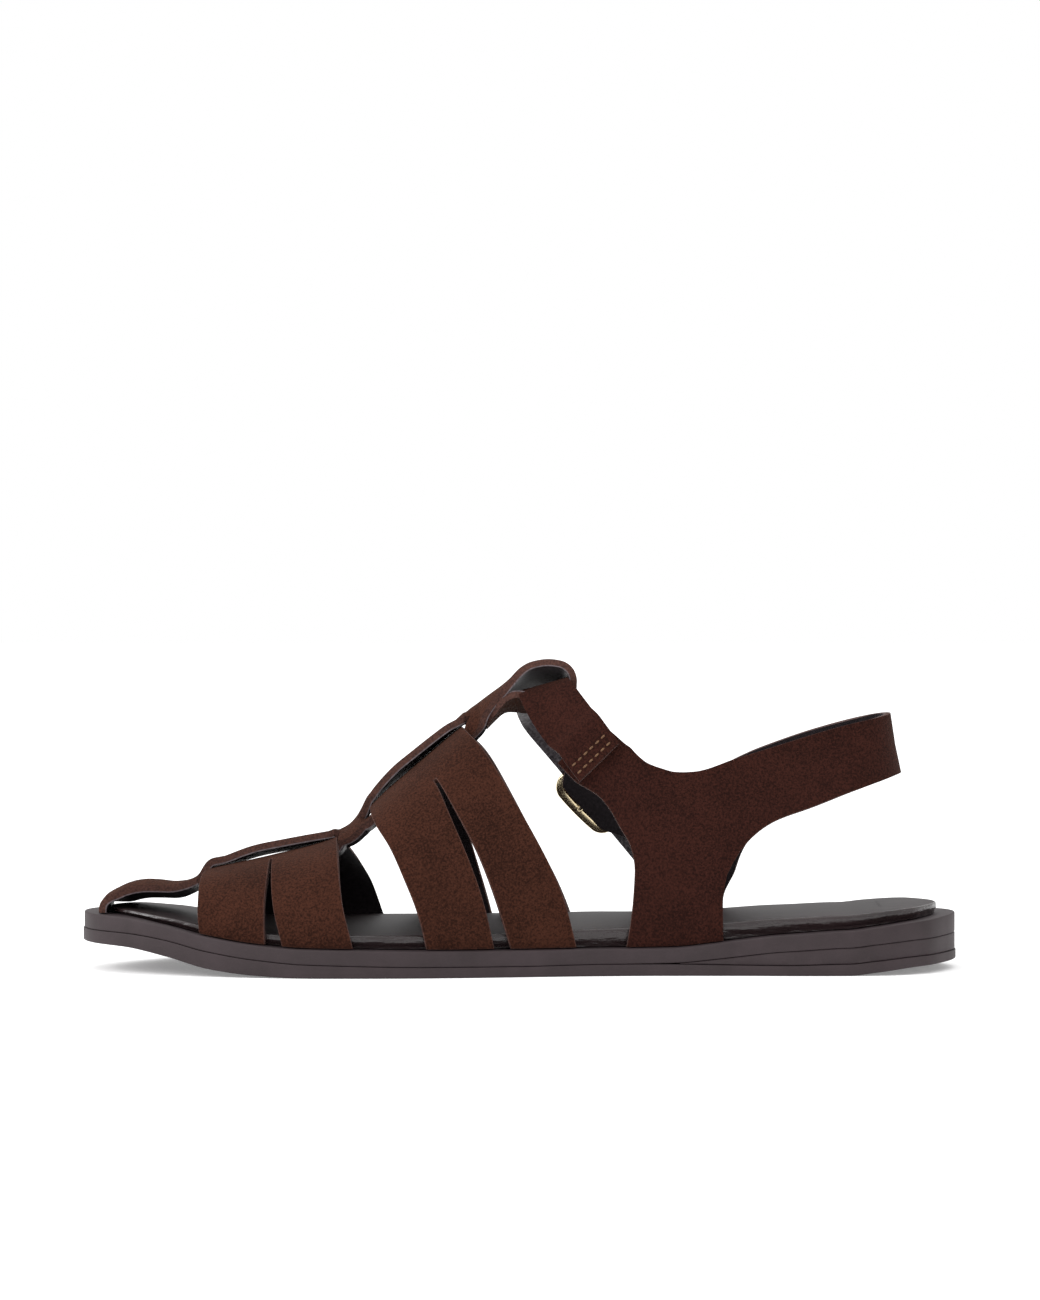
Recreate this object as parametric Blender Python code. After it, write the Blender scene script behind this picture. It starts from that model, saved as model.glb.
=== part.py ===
"""Flat fisherman sandal, one right shoe, standing empty on its sole.

Metres, +Z up. The toe points along -X, the medial (big toe) side is -Y and the
buckle sits on the lateral side, +Y. The origin is on the floor, at the middle of
the sole's outline. Tables give lengths as shares of the named sizes.
"""
import math

import bpy
import bmesh
import numpy as np

# Driving dimensions
LENGTH = 0.255
BALL_WIDTH = 0.094
TOE_SPRING = 0.0084
HEEL_BEVEL = 0.0028
OUTSOLE_THICKNESS = 0.0036
MIDSOLE_THICKNESS = 0.0045
HEEL_WEDGE = 0.0048
INSOLE_THICKNESS = 0.0050
INSTEP_HEIGHT = 0.0750
LEATHER = 0.0020
CENTRE_STRAP_WIDTH = 0.0270
ANKLE_STRAP_WIDTH = 0.0160
HEEL_STRAP_HEIGHT = 0.0650
STRAP_SETBACK = 0.0032
SLIT_WIDTH = 0.0050
WEAVE_GAP = 0.0006
CLEARANCE = 0.0003
EDGE_ROUND = 0.0006
MIDSOLE_SETBACK = 0.0003
BUCKLE_WIRE = 0.0030
BUCKLE_LENGTH = 0.0244
BUCKLE_SIDE_ROOM = 0.0016
BUCKLE_LIFT = 0.0005
BAR_WIRE = 0.0022
PRONG_WIRE = 0.0013
TAB_LEATHER = 0.0010
TAB_WIDTH = 0.0130
SEAM_LENGTH = 0.0113
OUTLINE_STATIONS = 35


def table(columns, *rows):
    """A short table with named columns, each column as an array."""
    values = np.array(rows, dtype=float)
    return {name: values[:, place] for place, name in enumerate(columns.split())}


def curve_through(xs, ys, at):
    """Smooth curve through points that never swings past them."""
    at = np.asarray(at, dtype=float)
    steps = np.diff(xs)
    slopes = np.diff(ys) / steps
    tangents = np.zeros(len(ys))
    tangents[0], tangents[-1] = slopes[0], slopes[-1]
    same_way = slopes[:-1] * slopes[1:] > 0
    near, far = 2 * steps[1:] + steps[:-1], steps[1:] + 2 * steps[:-1]
    inner = np.zeros(len(slopes) - 1)
    inner[same_way] = (near + far)[same_way] / (
        near[same_way] / slopes[:-1][same_way] + far[same_way] / slopes[1:][same_way])
    tangents[1:-1] = inner
    k = np.clip(np.searchsorted(xs, at, side="right") - 1, 0, len(xs) - 2)
    t = (at - xs[k]) / steps[k]
    return ((2 * t**3 - 3 * t**2 + 1) * ys[k] + (t**3 - 2 * t**2 + t) * steps[k] * tangents[k]
            + (3 * t**2 - 2 * t**3) * ys[k + 1] + (t**3 - t**2) * steps[k] * tangents[k + 1])


# The sole's outline: distance along from the toe as a share of LENGTH, and the two
# sides as shares of BALL_WIDTH, medial negative
OUTLINE = table("along medial lateral",
                (0.00, -0.106, -0.106),
                (0.02, -0.266, 0.053),
                (0.06, -0.351, 0.181),
                (0.12, -0.420, 0.298),
                (0.20, -0.473, 0.394),
                (0.28, -0.500, 0.457),
                (0.36, -0.498, 0.495),
                (0.42, -0.484, 0.500),
                (0.50, -0.452, 0.468),
                (0.58, -0.420, 0.410),
                (0.66, -0.404, 0.351),
                (0.74, -0.404, 0.303),
                (0.82, -0.412, 0.271),
                (0.90, -0.405, 0.251),
                (0.96, -0.333, 0.180),
                (0.985, -0.230, 0.080),
                (1.00, -0.080, -0.080))

# How the layers of the sole rise and thin out: the spring of the toe, the bevel of
# the heel and each layer's thickness, as shares of their own sizes
LAYERS = table("along spring bevel outsole wedge midsole",
               (0.00, 1.00, 0.00, 1.06, 0.00, 1.04),
               (0.05, 0.94, 0.00, 1.10, 0.00, 1.00),
               (0.10, 0.67, 0.00, 1.28, 0.00, 0.89),
               (0.15, 0.27, 0.00, 1.36, 0.00, 0.93),
               (0.20, 0.08, 0.00, 1.25, 0.00, 0.93),
               (0.26, 0.00, 0.00, 1.08, 0.00, 0.95),
               (0.40, 0.00, 0.00, 0.87, 0.00, 1.00),
               (0.50, 0.00, 0.00, 0.86, 0.00, 1.00),
               (0.60, 0.00, 0.00, 0.95, 0.00, 0.96),
               (0.67, 0.00, 0.00, 0.95, 0.05, 0.96),
               (0.73, 0.00, 0.00, 0.88, 0.40, 1.00),
               (0.80, 0.00, 0.00, 0.83, 0.83, 1.02),
               (0.87, 0.00, 0.00, 0.94, 0.97, 1.05),
               (0.90, 0.00, 0.30, 0.92, 0.99, 1.08),
               (0.95, 0.00, 0.80, 0.84, 1.00, 1.16),
               (1.00, 0.00, 1.00, 0.78, 1.06, 1.27))
WEDGE_START = 0.68

# Height of the padded insole's edge over the midsole, as a share of INSOLE_THICKNESS
PADDING = table("along height",
                (0.00, 0.30), (0.06, 0.34), (0.12, 0.44), (0.20, 0.60), (0.30, 0.76),
                (0.40, 0.82), (0.50, 0.90), (0.60, 1.08), (0.67, 1.12), (0.73, 1.02),
                (0.80, 0.88), (0.90, 0.74), (1.00, 0.60))

# Ridge of the last under the straps: height as a share of INSTEP_HEIGHT, side place
# as a share of BALL_WIDTH
RIDGE = table("along height side",
              (0.10, 0.350, -0.150), (0.141, 0.386, -0.150), (0.215, 0.434, -0.140),
              (0.290, 0.508, -0.128), (0.312, 0.555, -0.120), (0.324, 0.612, -0.117),
              (0.344, 0.676, -0.106), (0.363, 0.724, -0.096), (0.394, 0.804, -0.085),
              (0.431, 0.918, -0.074), (0.453, 0.980, -0.064), (0.500, 1.093, -0.053),
              (0.563, 1.213, -0.043), (0.620, 1.307, -0.043))
LAST_SQUARENESS = {-1: 2.3, 1: 1.9}


def edge_y(side, along):
    """Side edge of the sole, round at both ends: side -1 is medial, 1 is lateral."""
    column = OUTLINE["medial"] if side < 0 else OUTLINE["lateral"]
    return BALL_WIDTH * curve_through(swing(OUTLINE["along"]), column, swing(along))


def swing(along):
    """Angle whose cosine runs from toe to heel, so that a curve over it closes round."""
    return np.arccos(1 - 2 * np.clip(along, 0, 1))


def along_of(x):
    return np.clip(np.asarray(x) / LENGTH + 0.5, 0, 1)


def x_of(along):
    return (np.asarray(along) - 0.5) * LENGTH


def layer_share(name, x):
    return curve_through(LAYERS["along"], LAYERS[name], along_of(x))


def ground_z(x):
    return TOE_SPRING * layer_share("spring", x) + HEEL_BEVEL * layer_share("bevel", x)


def outsole_top_z(x):
    return ground_z(x) + OUTSOLE_THICKNESS * layer_share("outsole", x)


def wedge_top_z(x):
    return outsole_top_z(x) + HEEL_WEDGE * layer_share("wedge", x)


def midsole_top_z(x):
    return wedge_top_z(x) + MIDSOLE_THICKNESS * layer_share("midsole", x)


def foot_z(x):
    """Where a strap's foot stands on the midsole."""
    return midsole_top_z(x) + CLEARANCE


def strap_foot_y(side, x):
    return edge_y(side, along_of(x)) - side * STRAP_SETBACK


def ridge_point(x):
    along = along_of(x)
    return (BALL_WIDTH * curve_through(RIDGE["along"], RIDGE["side"], along),
            INSTEP_HEIGHT * curve_through(RIDGE["along"], RIDGE["height"], along))


def last_point(x, turn):
    """Outer face of the bands: turn -1 medial foot, 0 ridge, 1 lateral foot."""
    side = -1 if turn <= 0 else 1
    ridge_y, ridge_z = ridge_point(x)
    power = 2 / LAST_SQUARENESS[side]
    angle = turn * math.pi / 2
    reach = strap_foot_y(side, x) - ridge_y
    base = foot_z(x)
    return np.array([x, ridge_y + reach * abs(math.sin(angle))**power,
                     base + (ridge_z - base) * abs(math.cos(angle))**power])


def last_z(x, y):
    """Height of the same face over a plan point near the ridge."""
    ridge_y, ridge_z = ridge_point(x)
    side = -1 if y <= ridge_y else 1
    power = LAST_SQUARENESS[side]
    reach = abs((y - ridge_y) / (strap_foot_y(side, x) - ridge_y))
    base = foot_z(x)
    return base + (ridge_z - base) * (1 - min(reach, 0.99)**power)**(1 / power)


def new_object(name, vertices, faces, smooth_angle=40):
    mesh = bpy.data.meshes.new(name)
    mesh.from_pydata([tuple(v) for v in vertices], [], faces)
    shape = bmesh.new()
    shape.from_mesh(mesh)
    bmesh.ops.recalc_face_normals(shape, faces=shape.faces)
    bmesh.ops.triangulate(shape, faces=shape.faces)
    shape.to_mesh(mesh)
    shape.free()
    mesh.shade_smooth()
    mesh.set_sharp_from_angle(angle=math.radians(smooth_angle))
    thing = bpy.data.objects.new(name, mesh)
    bpy.context.scene.collection.objects.link(thing)
    return thing


def finish(thing, colour, roughness, metallic=0.0):
    """Give the piece its own plain material."""
    material = bpy.data.materials.new(thing.name)
    material.use_nodes = True
    shader = material.node_tree.nodes["Principled BSDF"]
    shader.inputs["Base Color"].default_value = (*colour, 1)
    shader.inputs["Roughness"].default_value = roughness
    shader.inputs["Metallic"].default_value = metallic
    thing.data.materials.append(material)
    return thing


def boolean(thing, other, operation):
    """Join or cut with another object, which stays only as a hidden guide."""
    change = thing.modifiers.new(operation.lower(), "BOOLEAN")
    change.operation = operation
    change.solver = "EXACT"
    change.object = other
    other.hide_render = True
    other.display_type = "WIRE"


def outline_ring(inset, start=0.0):
    """Plan outline as a medial and a lateral chain, moved inward by inset."""
    turn = np.linspace(0, math.pi, OUTLINE_STATIONS)
    along = start + (1 - start) * (1 - np.cos(turn)) / 2
    if start > 0:
        along = start + (1 - start) * np.sin(turn / 2)
    chains = {side: np.stack([x_of(along), edge_y(side, along)], axis=1) for side in (-1, 1)}
    loop = np.concatenate([chains[-1], chains[1][-2::-1]])
    if start == 0:
        loop = loop[:-1]
        before, after = np.roll(loop, 1, axis=0), np.roll(loop, -1, axis=0)
    else:
        before, after = np.vstack([loop[:1], loop[:-1]]), np.vstack([loop[1:], loop[-1:]])
    tangent = after - before
    tangent /= np.linalg.norm(tangent, axis=1)[:, None]
    loop = loop + inset * np.stack([-tangent[:, 1], tangent[:, 0]], axis=1)
    medial = loop[:OUTLINE_STATIONS]
    lateral = np.concatenate([loop[OUTLINE_STATIONS:][::-1], medial[-1:]])
    if start == 0:
        lateral = np.concatenate([medial[:1], lateral])
    return medial, lateral


def sole_layer(name, rings, start=0.0, toe_shift=0.0):
    """Closed layer from rings of (inset, height function), bottom to top."""
    vertices, loops, chains = [], [], []
    for inset, height in rings:
        medial, lateral = outline_ring(inset, start)
        loop = np.concatenate([medial, lateral[-2:0:-1] if start == 0 else lateral[-2::-1]])
        loop[:, 0] += toe_shift * (1 - np.minimum(along_of(loop[:, 0]) / TOE_SHIFT_REACH, 1))**2
        first = len(vertices)
        vertices += [(x, y, float(height(x))) for x, y in loop]
        count = len(loop)
        loops.append(list(range(first, first + count)))
        right = [first + (count - k) % count if start == 0 else first + count - 1 - k
                 for k in range(OUTLINE_STATIONS)]
        chains.append((list(range(first, first + OUTLINE_STATIONS)), right))
    faces = []
    for lower, upper in zip(loops, loops[1:]):
        for k in range(len(lower)):
            after = (k + 1) % len(lower)
            faces.append((lower[k], lower[after], upper[after], upper[k]))
    for left, right in (chains[0], chains[-1]):
        for k in range(OUTLINE_STATIONS - 1):
            corners = [left[k], left[k + 1], right[k + 1], right[k]]
            faces.append(tuple(dict.fromkeys(corners)))
    return new_object(name, vertices, faces)


def grid_normals(grid, outward):
    """Unit normals of a grid of points, on the side that the outward points lie on."""
    normals = np.cross(np.gradient(grid, axis=0), np.gradient(grid, axis=1))
    normals /= np.linalg.norm(normals, axis=2)[:, :, None]
    if np.sum(normals * outward) < 0:
        normals = -normals
    return normals


def sheet(name, outer, inner, present):
    """Closed wall between two grids of points, with the absent cells left open."""
    rows, columns = outer.shape[:2]
    number = {}
    vertices = []

    def vertex(row, column, layer):
        key = (row, column, layer)
        if key not in number:
            number[key] = len(vertices)
            vertices.append((outer, inner)[layer][row, column])
        return number[key]

    def is_there(row, column):
        return 0 <= row < rows - 1 and 0 <= column < columns - 1 and present[row, column]

    faces = []
    for row in range(rows - 1):
        for column in range(columns - 1):
            if not present[row, column]:
                continue
            corners = [(row, column), (row + 1, column), (row + 1, column + 1), (row, column + 1)]
            faces.append(tuple(vertex(*corner, 0) for corner in corners))
            faces.append(tuple(vertex(*corner, 1) for corner in reversed(corners)))
            sides = [(row, column - 1), (row + 1, column), (row, column + 1), (row - 1, column)]
            for k, beside in enumerate(sides):
                if not is_there(*beside):
                    a, b = corners[k], corners[(k + 1) % 4]
                    faces.append((vertex(*b, 0), vertex(*a, 0), vertex(*a, 1), vertex(*b, 1)))
    return new_object(name, vertices, faces)


def tube(name, points, radius, sides, closed=False):
    """Round wire along points, with flat ends unless it closes on itself."""
    points = np.array(points)
    count = len(points)
    if closed:
        tangents = np.roll(points, -1, axis=0) - np.roll(points, 1, axis=0)
    else:
        tangents = np.gradient(points, axis=0)
    tangents /= np.linalg.norm(tangents, axis=1)[:, None]
    normal = np.linalg.svd(points - points.mean(axis=0))[2][2]
    across = np.cross(tangents, normal)
    across /= np.linalg.norm(across, axis=1)[:, None]
    third = np.cross(across, tangents)
    vertices = []
    for k in range(count):
        for side in range(sides):
            angle = 2 * math.pi * side / sides
            vertices.append(points[k] + radius * (math.cos(angle) * across[k]
                                                  + math.sin(angle) * third[k]))
    faces = []
    for k in range(count if closed else count - 1):
        after = (k + 1) % count
        for side in range(sides):
            other = (side + 1) % sides
            faces.append((k * sides + side, k * sides + other,
                          after * sides + other, after * sides + side))
    if not closed:
        faces.append(tuple(range(sides)))
        faces.append(tuple(range((count - 1) * sides, count * sides)))
    return new_object(name, vertices, faces)


# Sole

def build_outsole():
    return sole_layer("outsole", [
        (EDGE_ROUND, lambda x: ground_z(x)),
        (0.0, lambda x: ground_z(x) + EDGE_ROUND),
        (0.0, lambda x: outsole_top_z(x) - CLEARANCE - EDGE_ROUND / 2),
        (EDGE_ROUND / 2, lambda x: outsole_top_z(x) - CLEARANCE)])


def build_heel_wedge():
    return sole_layer("heel_wedge", [
        (MIDSOLE_SETBACK + EDGE_ROUND / 2, lambda x: outsole_top_z(x)),
        (MIDSOLE_SETBACK, lambda x: outsole_top_z(x) + wedge_chamfer(x)),
        (MIDSOLE_SETBACK, lambda x: wedge_top_z(x) - CLEARANCE - wedge_chamfer(x)),
        (MIDSOLE_SETBACK + EDGE_ROUND / 2, lambda x: wedge_top_z(x) - CLEARANCE)],
        start=WEDGE_START)


def wedge_chamfer(x):
    """Edge rounding that fades where the wedge runs out."""
    room = wedge_top_z(x) - CLEARANCE - outsole_top_z(x)
    return min(EDGE_ROUND / 2, room / 3)


def build_midsole():
    return sole_layer("midsole", [
        (MIDSOLE_SETBACK + EDGE_ROUND / 2, lambda x: wedge_top_z(x)),
        (MIDSOLE_SETBACK, lambda x: wedge_top_z(x) + EDGE_ROUND / 2),
        (MIDSOLE_SETBACK, lambda x: midsole_top_z(x) - EDGE_ROUND),
        (MIDSOLE_SETBACK + EDGE_ROUND, lambda x: midsole_top_z(x))])


def insole_edge_z(x):
    height = INSOLE_THICKNESS * curve_through(PADDING["along"], PADDING["height"], along_of(x))
    return midsole_top_z(x) + height


TOE_SHIFT_REACH = 0.2
# Rounding of the insole from its foot to its top: how far each ring goes in and rises,
# as multiples of EDGE_ROUND, and its share of the edge's height
INSOLE_RINGS = table("inset height rise",
                     (0.4, 0.0, 0.0), (0.0, 0.5, 0.0), (1.0, 1.0, -1.0), (3.0, 1.0, 0.0),
                     (8.0, 1.0, 0.8))


def insole_ring(number):
    """Inset and height function of one ring."""
    share = INSOLE_RINGS["height"][number]
    rise = INSOLE_RINGS["rise"][number] * EDGE_ROUND
    inset = STRAP_SETBACK + LEATHER + 2 * CLEARANCE + INSOLE_RINGS["inset"][number] * EDGE_ROUND
    return inset, lambda x: foot_z(x) + share * (insole_edge_z(x) - foot_z(x)) + rise


def build_insole():
    """Insole that stops behind the foot of the centre strap at the toe."""
    strap_back = x_of(CENTRE_ROUTE["along"][0]) + LEATHER + 2 * CLEARANCE
    own_front = x_of(0) + STRAP_SETBACK + LEATHER + 2 * CLEARANCE
    return sole_layer("insole", [insole_ring(k) for k in range(len(INSOLE_RINGS["inset"]))],
                      toe_shift=float(strap_back - own_front))


# Straps over the foot

# Edges of each band by turn round the last, as shares of LENGTH, and the opening of
# its slit as a share of SLIT_WIDTH
TOE_BAND = table("turn front slit opening rear",
                 (-1.00, 0.1392, 0.2235, 1.00, 0.3129),
                 (-0.80, 0.1369, 0.2184, 0.60, 0.3016),
                 (-0.60, 0.1369, 0.2168, 0.36, 0.2969),
                 (-0.30, 0.1376, 0.2168, 0.16, 0.2929),
                 (0.00, 0.1412, 0.2170, 0.12, 0.2906),
                 (0.30, 0.1431, 0.2190, 0.16, 0.2969),
                 (0.60, 0.1471, 0.2270, 0.36, 0.3133),
                 (0.80, 0.1530, 0.2360, 0.60, 0.3270),
                 (1.00, 0.1608, 0.2471, 1.00, 0.3416))
INSTEP_BAND = table("turn front slit opening rear",
                    (-1.00, 0.3953, 0.4806, 0.94, 0.5639),
                    (-0.90, 0.3863, 0.4667, 0.66, 0.5490),
                    (-0.80, 0.3733, 0.4524, 0.62, 0.5255),
                    (-0.60, 0.3541, 0.4247, 0.34, 0.4870),
                    (-0.40, 0.3373, 0.4059, 0.14, 0.4600),
                    (-0.20, 0.3298, 0.3900, 0.12, 0.4400),
                    (0.00, 0.3282, 0.3810, 0.12, 0.4318),
                    (0.20, 0.3298, 0.3880, 0.12, 0.4380),
                    (0.40, 0.3365, 0.4040, 0.14, 0.4610),
                    (0.60, 0.3510, 0.4240, 0.34, 0.4890),
                    (0.80, 0.3700, 0.4500, 0.62, 0.5270),
                    (0.90, 0.3830, 0.4650, 0.66, 0.5510),
                    (1.00, 0.3930, 0.4800, 0.94, 0.5660))
BAND_ROWS = 25
TOE_SLIT_ENDS = (-0.15, 0.22)
INSTEP_SLIT_ENDS = (-0.37, 0.37)


def build_band(name, edges, slit_ends):
    """One band over the foot, slit from each foot nearly up to the ridge."""
    turns = np.linspace(-1, 1, BAND_ROWS)
    outer = np.zeros((BAND_ROWS, 8, 3))
    for row, turn in enumerate(turns):
        front, slit, opening, rear = (
            float(curve_through(edges["turn"], edges[column], turn))
            for column in ("front", "slit", "opening", "rear"))
        half_slit = opening * SLIT_WIDTH / 2
        before, after = x_of(slit) - half_slit, x_of(slit) + half_slit
        lines = np.concatenate([np.linspace(x_of(front), before, 4),
                                np.linspace(after, x_of(rear), 4)])
        for column, x in enumerate(lines):
            outer[row, column] = last_point(float(x), turn)
    normals = grid_normals(outer, outer * (0, 1, 1))
    inner = outer - LEATHER * normals
    inner[[0, -1], :, 2] = outer[[0, -1], :, 2]
    present = np.ones((BAND_ROWS - 1, 7), dtype=bool)
    for row in range(BAND_ROWS - 1):
        middle = (turns[row] + turns[row + 1]) / 2
        present[row, 3] = slit_ends[0] < middle < slit_ends[1]
    return sheet(name, outer, inner, present)


# Route of the centre strap's outer face from the toe, over both bands, round the
# ankle strap and back beneath it: along as a share of LENGTH, height as a share of
# INSTEP_HEIGHT, half width as a share of CENTRE_STRAP_WIDTH, lean to the lateral
# side in degrees, and how far its margins dip under the bands
CENTRE_ROUTE = table("along height side half lean dip",
                     (0.0176, 0.2280, -0.106, 0.50, 0, 0),
                     (0.0184, 0.2480, -0.106, 0.50, 0, 0),
                     (0.0239, 0.2747, -0.106, 0.50, 0, 0),
                     (0.0341, 0.2987, -0.100, 0.50, 0, 0),
                     (0.0478, 0.3173, -0.096, 0.50, 1, 0),
                     (0.0647, 0.3330, -0.092, 0.50, 2, 0),
                     (0.0859, 0.3330, -0.088, 0.50, 3, 0),
                     (0.1075, 0.3250, -0.085, 0.50, 4, 0),
                     (0.1200, 0.3310, -0.083, 0.50, 5, 0),
                     (0.1290, 0.3480, -0.082, 0.50, 5, 0),
                     (0.1360, 0.3680, -0.081, 0.50, 6, 0.30),
                     (0.1430, 0.3880, -0.080, 0.50, 6, 0.65),
                     (0.1520, 0.4050, -0.078, 0.50, 6, 0.90),
                     (0.1678, 0.4270, -0.076, 0.50, 6, 1),
                     (0.1973, 0.4620, -0.074, 0.50, 6, 1),
                     (0.2259, 0.4850, -0.072, 0.50, 6, 1),
                     (0.2525, 0.5020, -0.070, 0.50, 7, 1),
                     (0.2900, 0.5230, -0.066, 0.50, 7, 1),
                     (0.3035, 0.5400, -0.064, 0.50, 8, 0),
                     (0.3130, 0.5720, -0.064, 0.50, 8, 0),
                     (0.3240, 0.6230, -0.063, 0.50, 9, 1),
                     (0.3341, 0.6800, -0.062, 0.50, 9, 1),
                     (0.3565, 0.7650, -0.060, 0.50, 10, 1),
                     (0.3875, 0.8560, -0.059, 0.48, 10, 1),
                     (0.4130, 0.9150, -0.058, 0.45, 11, 1),
                     (0.4350, 0.9640, -0.056, 0.41, 12, 1),
                     (0.4500, 1.0080, -0.055, 0.38, 13, 0),
                     (0.4660, 1.0440, -0.053, 0.35, 14, 0),
                     (0.4871, 1.0950, -0.053, 0.34, 15, 0),
                     (0.4992, 1.1300, -0.053, 0.34, 16, 0),
                     (0.5133, 1.1530, -0.053, 0.34, 16, 0),
                     (0.5318, 1.1620, -0.053, 0.34, 16, 0),
                     (0.5502, 1.1540, -0.053, 0.34, 16, 0),
                     (0.5627, 1.1190, -0.053, 0.34, 16, 0),
                     (0.5655, 1.0760, -0.053, 0.34, 16, 0),
                     (0.5565, 1.0340, -0.053, 0.34, 16, 0),
                     (0.5318, 1.0080, -0.053, 0.34, 16, 0),
                     (0.5078, 0.9870, -0.053, 0.34, 16, 0),
                     (0.4960, 0.9850, -0.053, 0.34, 16, 0),
                     (0.4843, 0.9960, -0.053, 0.34, 15, 0),
                     (0.4718, 0.9780, -0.053, 0.32, 14, 0),
                     (0.4625, 0.9500, -0.053, 0.26, 14, 0))
ROUTE_STEPS = 2
MIDDLE_SHARE = 0.18
MARGIN_SHARE = 0.53
SLOT_SHARE = 0.04
LEAST_SLOPE = 0.5
JOIN_OVERLAP = 0.0008
LOOP_SEAM = table("along lean", (0.4650, 14), (0.4700, 14), (0.4750, 14))
LOOP_SEAM_HALF = 0.2


def build_centre_strap():
    """Strap woven through both bands and looped round the ankle strap."""
    count = len(CENTRE_ROUTE["along"])
    places = np.linspace(0, count - 1, (count - 1) * ROUTE_STEPS + 1)
    route = {name: curve_through(np.arange(count), column, places)
             for name, column in CENTRE_ROUTE.items()}
    centre = np.stack([x_of(route["along"]), BALL_WIDTH * route["side"],
                       INSTEP_HEIGHT * route["height"]], axis=1)
    tangent = np.gradient(centre, axis=0)
    tangent[:, 1] = 0
    tangent /= np.linalg.norm(tangent, axis=1)[:, None]
    lean = np.radians(route["lean"])
    across = np.stack([np.zeros(len(lean)), np.cos(lean), -np.sin(lean)], axis=1)
    half_shares = np.array([MIDDLE_SHARE, MARGIN_SHARE, MARGIN_SHARE + SLOT_SHARE, 1])
    shares = np.concatenate([-half_shares[::-1], half_shares])
    rows = len(centre)
    outer = np.zeros((rows, len(shares), 3))
    for column, share in enumerate(shares):
        outer[:, column] = centre + (share * CENTRE_STRAP_WIDTH * route["half"])[:, None] * across
    normals = grid_normals(outer, np.tile([0, 0, 1.0], (rows, len(shares), 1)))
    woven = route["dip"] > 0
    for row in np.flatnonzero(woven):
        for column in range(len(shares)):
            x, y, z = outer[row, column]
            slope = max(normals[row, column, 2], LEAST_SLOPE)
            band = last_z(x, y)
            if column in (0, 1, 6, 7):
                under = band - (LEATHER - JOIN_OVERLAP) / slope
                outer[row, column, 2] = z + route["dip"][row] * (under - z)
            else:
                over = band + (LEATHER + WEAVE_GAP) / slope
                outer[row, column, 2] = z + route["dip"][row] * (max(over, z) - z)
    normals = grid_normals(outer, np.tile([0, 0, 1.0], (rows, len(shares), 1)))
    inner = outer - LEATHER * normals
    outer[0, :, 2] = [foot_z(x) for x in outer[0, :, 0]]
    inner[0, :, 2] = outer[0, :, 2]
    present = np.ones((rows - 1, len(shares) - 1), dtype=bool)
    for row in range(rows - 1):
        open_here = max(route["dip"][row], route["dip"][row + 1]) > 0.05
        present[row, 1] = present[row, 5] = not open_here
    return sheet("centre_strap", outer, inner, present)


def build_loop_seam():
    """Sewn place where the end of the loop is fixed to the strap's own underside."""
    turn = int(np.argmax(CENTRE_ROUTE["along"]))
    outer, inner = np.zeros((2, len(LOOP_SEAM["along"]), 3, 3))
    for row, (along, lean) in enumerate(zip(LOOP_SEAM["along"], np.radians(LOOP_SEAM["lean"]))):
        going = curve_through(CENTRE_ROUTE["along"][:turn], CENTRE_ROUTE["height"][:turn], along)
        coming = curve_through(CENTRE_ROUTE["along"][:turn:-1], CENTRE_ROUTE["height"][:turn:-1],
                               along)
        side = BALL_WIDTH * CENTRE_ROUTE["side"][-1]
        for column, share in enumerate((-1, 0, 1)):
            across = share * LOOP_SEAM_HALF * CENTRE_STRAP_WIDTH
            y, drop = side + across * math.cos(lean), across * math.sin(lean)
            outer[row, column] = x_of(along), y, INSTEP_HEIGHT * going - JOIN_OVERLAP - drop
            inner[row, column] = x_of(along), y, INSTEP_HEIGHT * coming + JOIN_OVERLAP - drop
    present = np.ones((len(outer) - 1, 2), dtype=bool)
    return sheet("loop_seam", outer, inner, present)


# Quarters and heel strap

# Side walls of the quarters at HEEL_STRAP_HEIGHT, as shares of BALL_WIDTH
WALLS = table("along medial lateral",
              (0.48, -0.245, 0.205), (0.56, -0.270, 0.245), (0.62, -0.280, 0.250),
              (0.70, -0.280, 0.220), (0.78, -0.268, 0.160), (0.8745, -0.242, 0.085))
BACK_CENTRE_ALONG = 0.8712
BACK_RAKE = 0.11
WALL_BULGE = 0.0012


def wall_point(side, x, z, out=0.0):
    """Outer face of a quarter at a side view place, moved outward by out."""
    share = (HEEL_STRAP_HEIGHT - z) / (HEEL_STRAP_HEIGHT - foot_z(x))
    top = BALL_WIDTH * curve_through(WALLS["along"], WALLS["medial" if side < 0 else "lateral"],
                                     along_of(x))
    foot = strap_foot_y(side, x)
    bulge = side * WALL_BULGE * math.sin(math.pi * min(max(share, 0), 1))
    return np.array([x, top + (foot - top) * share + bulge + side * out, z])


def heel_point(turn, z):
    """Outer face of the heel strap's bend: turn -1 medial, 0 back, 1 lateral."""
    x = float(x_of(BACK_CENTRE_ALONG)) - BACK_RAKE * (HEEL_STRAP_HEIGHT - z)
    medial, lateral = wall_point(-1, x, z), wall_point(1, x, z)
    middle, radius = (medial[1] + lateral[1]) / 2, (lateral[1] - medial[1]) / 2
    angle = turn * math.pi / 2
    return np.array([x + radius * math.cos(angle), middle + radius * math.sin(angle), z])


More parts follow.
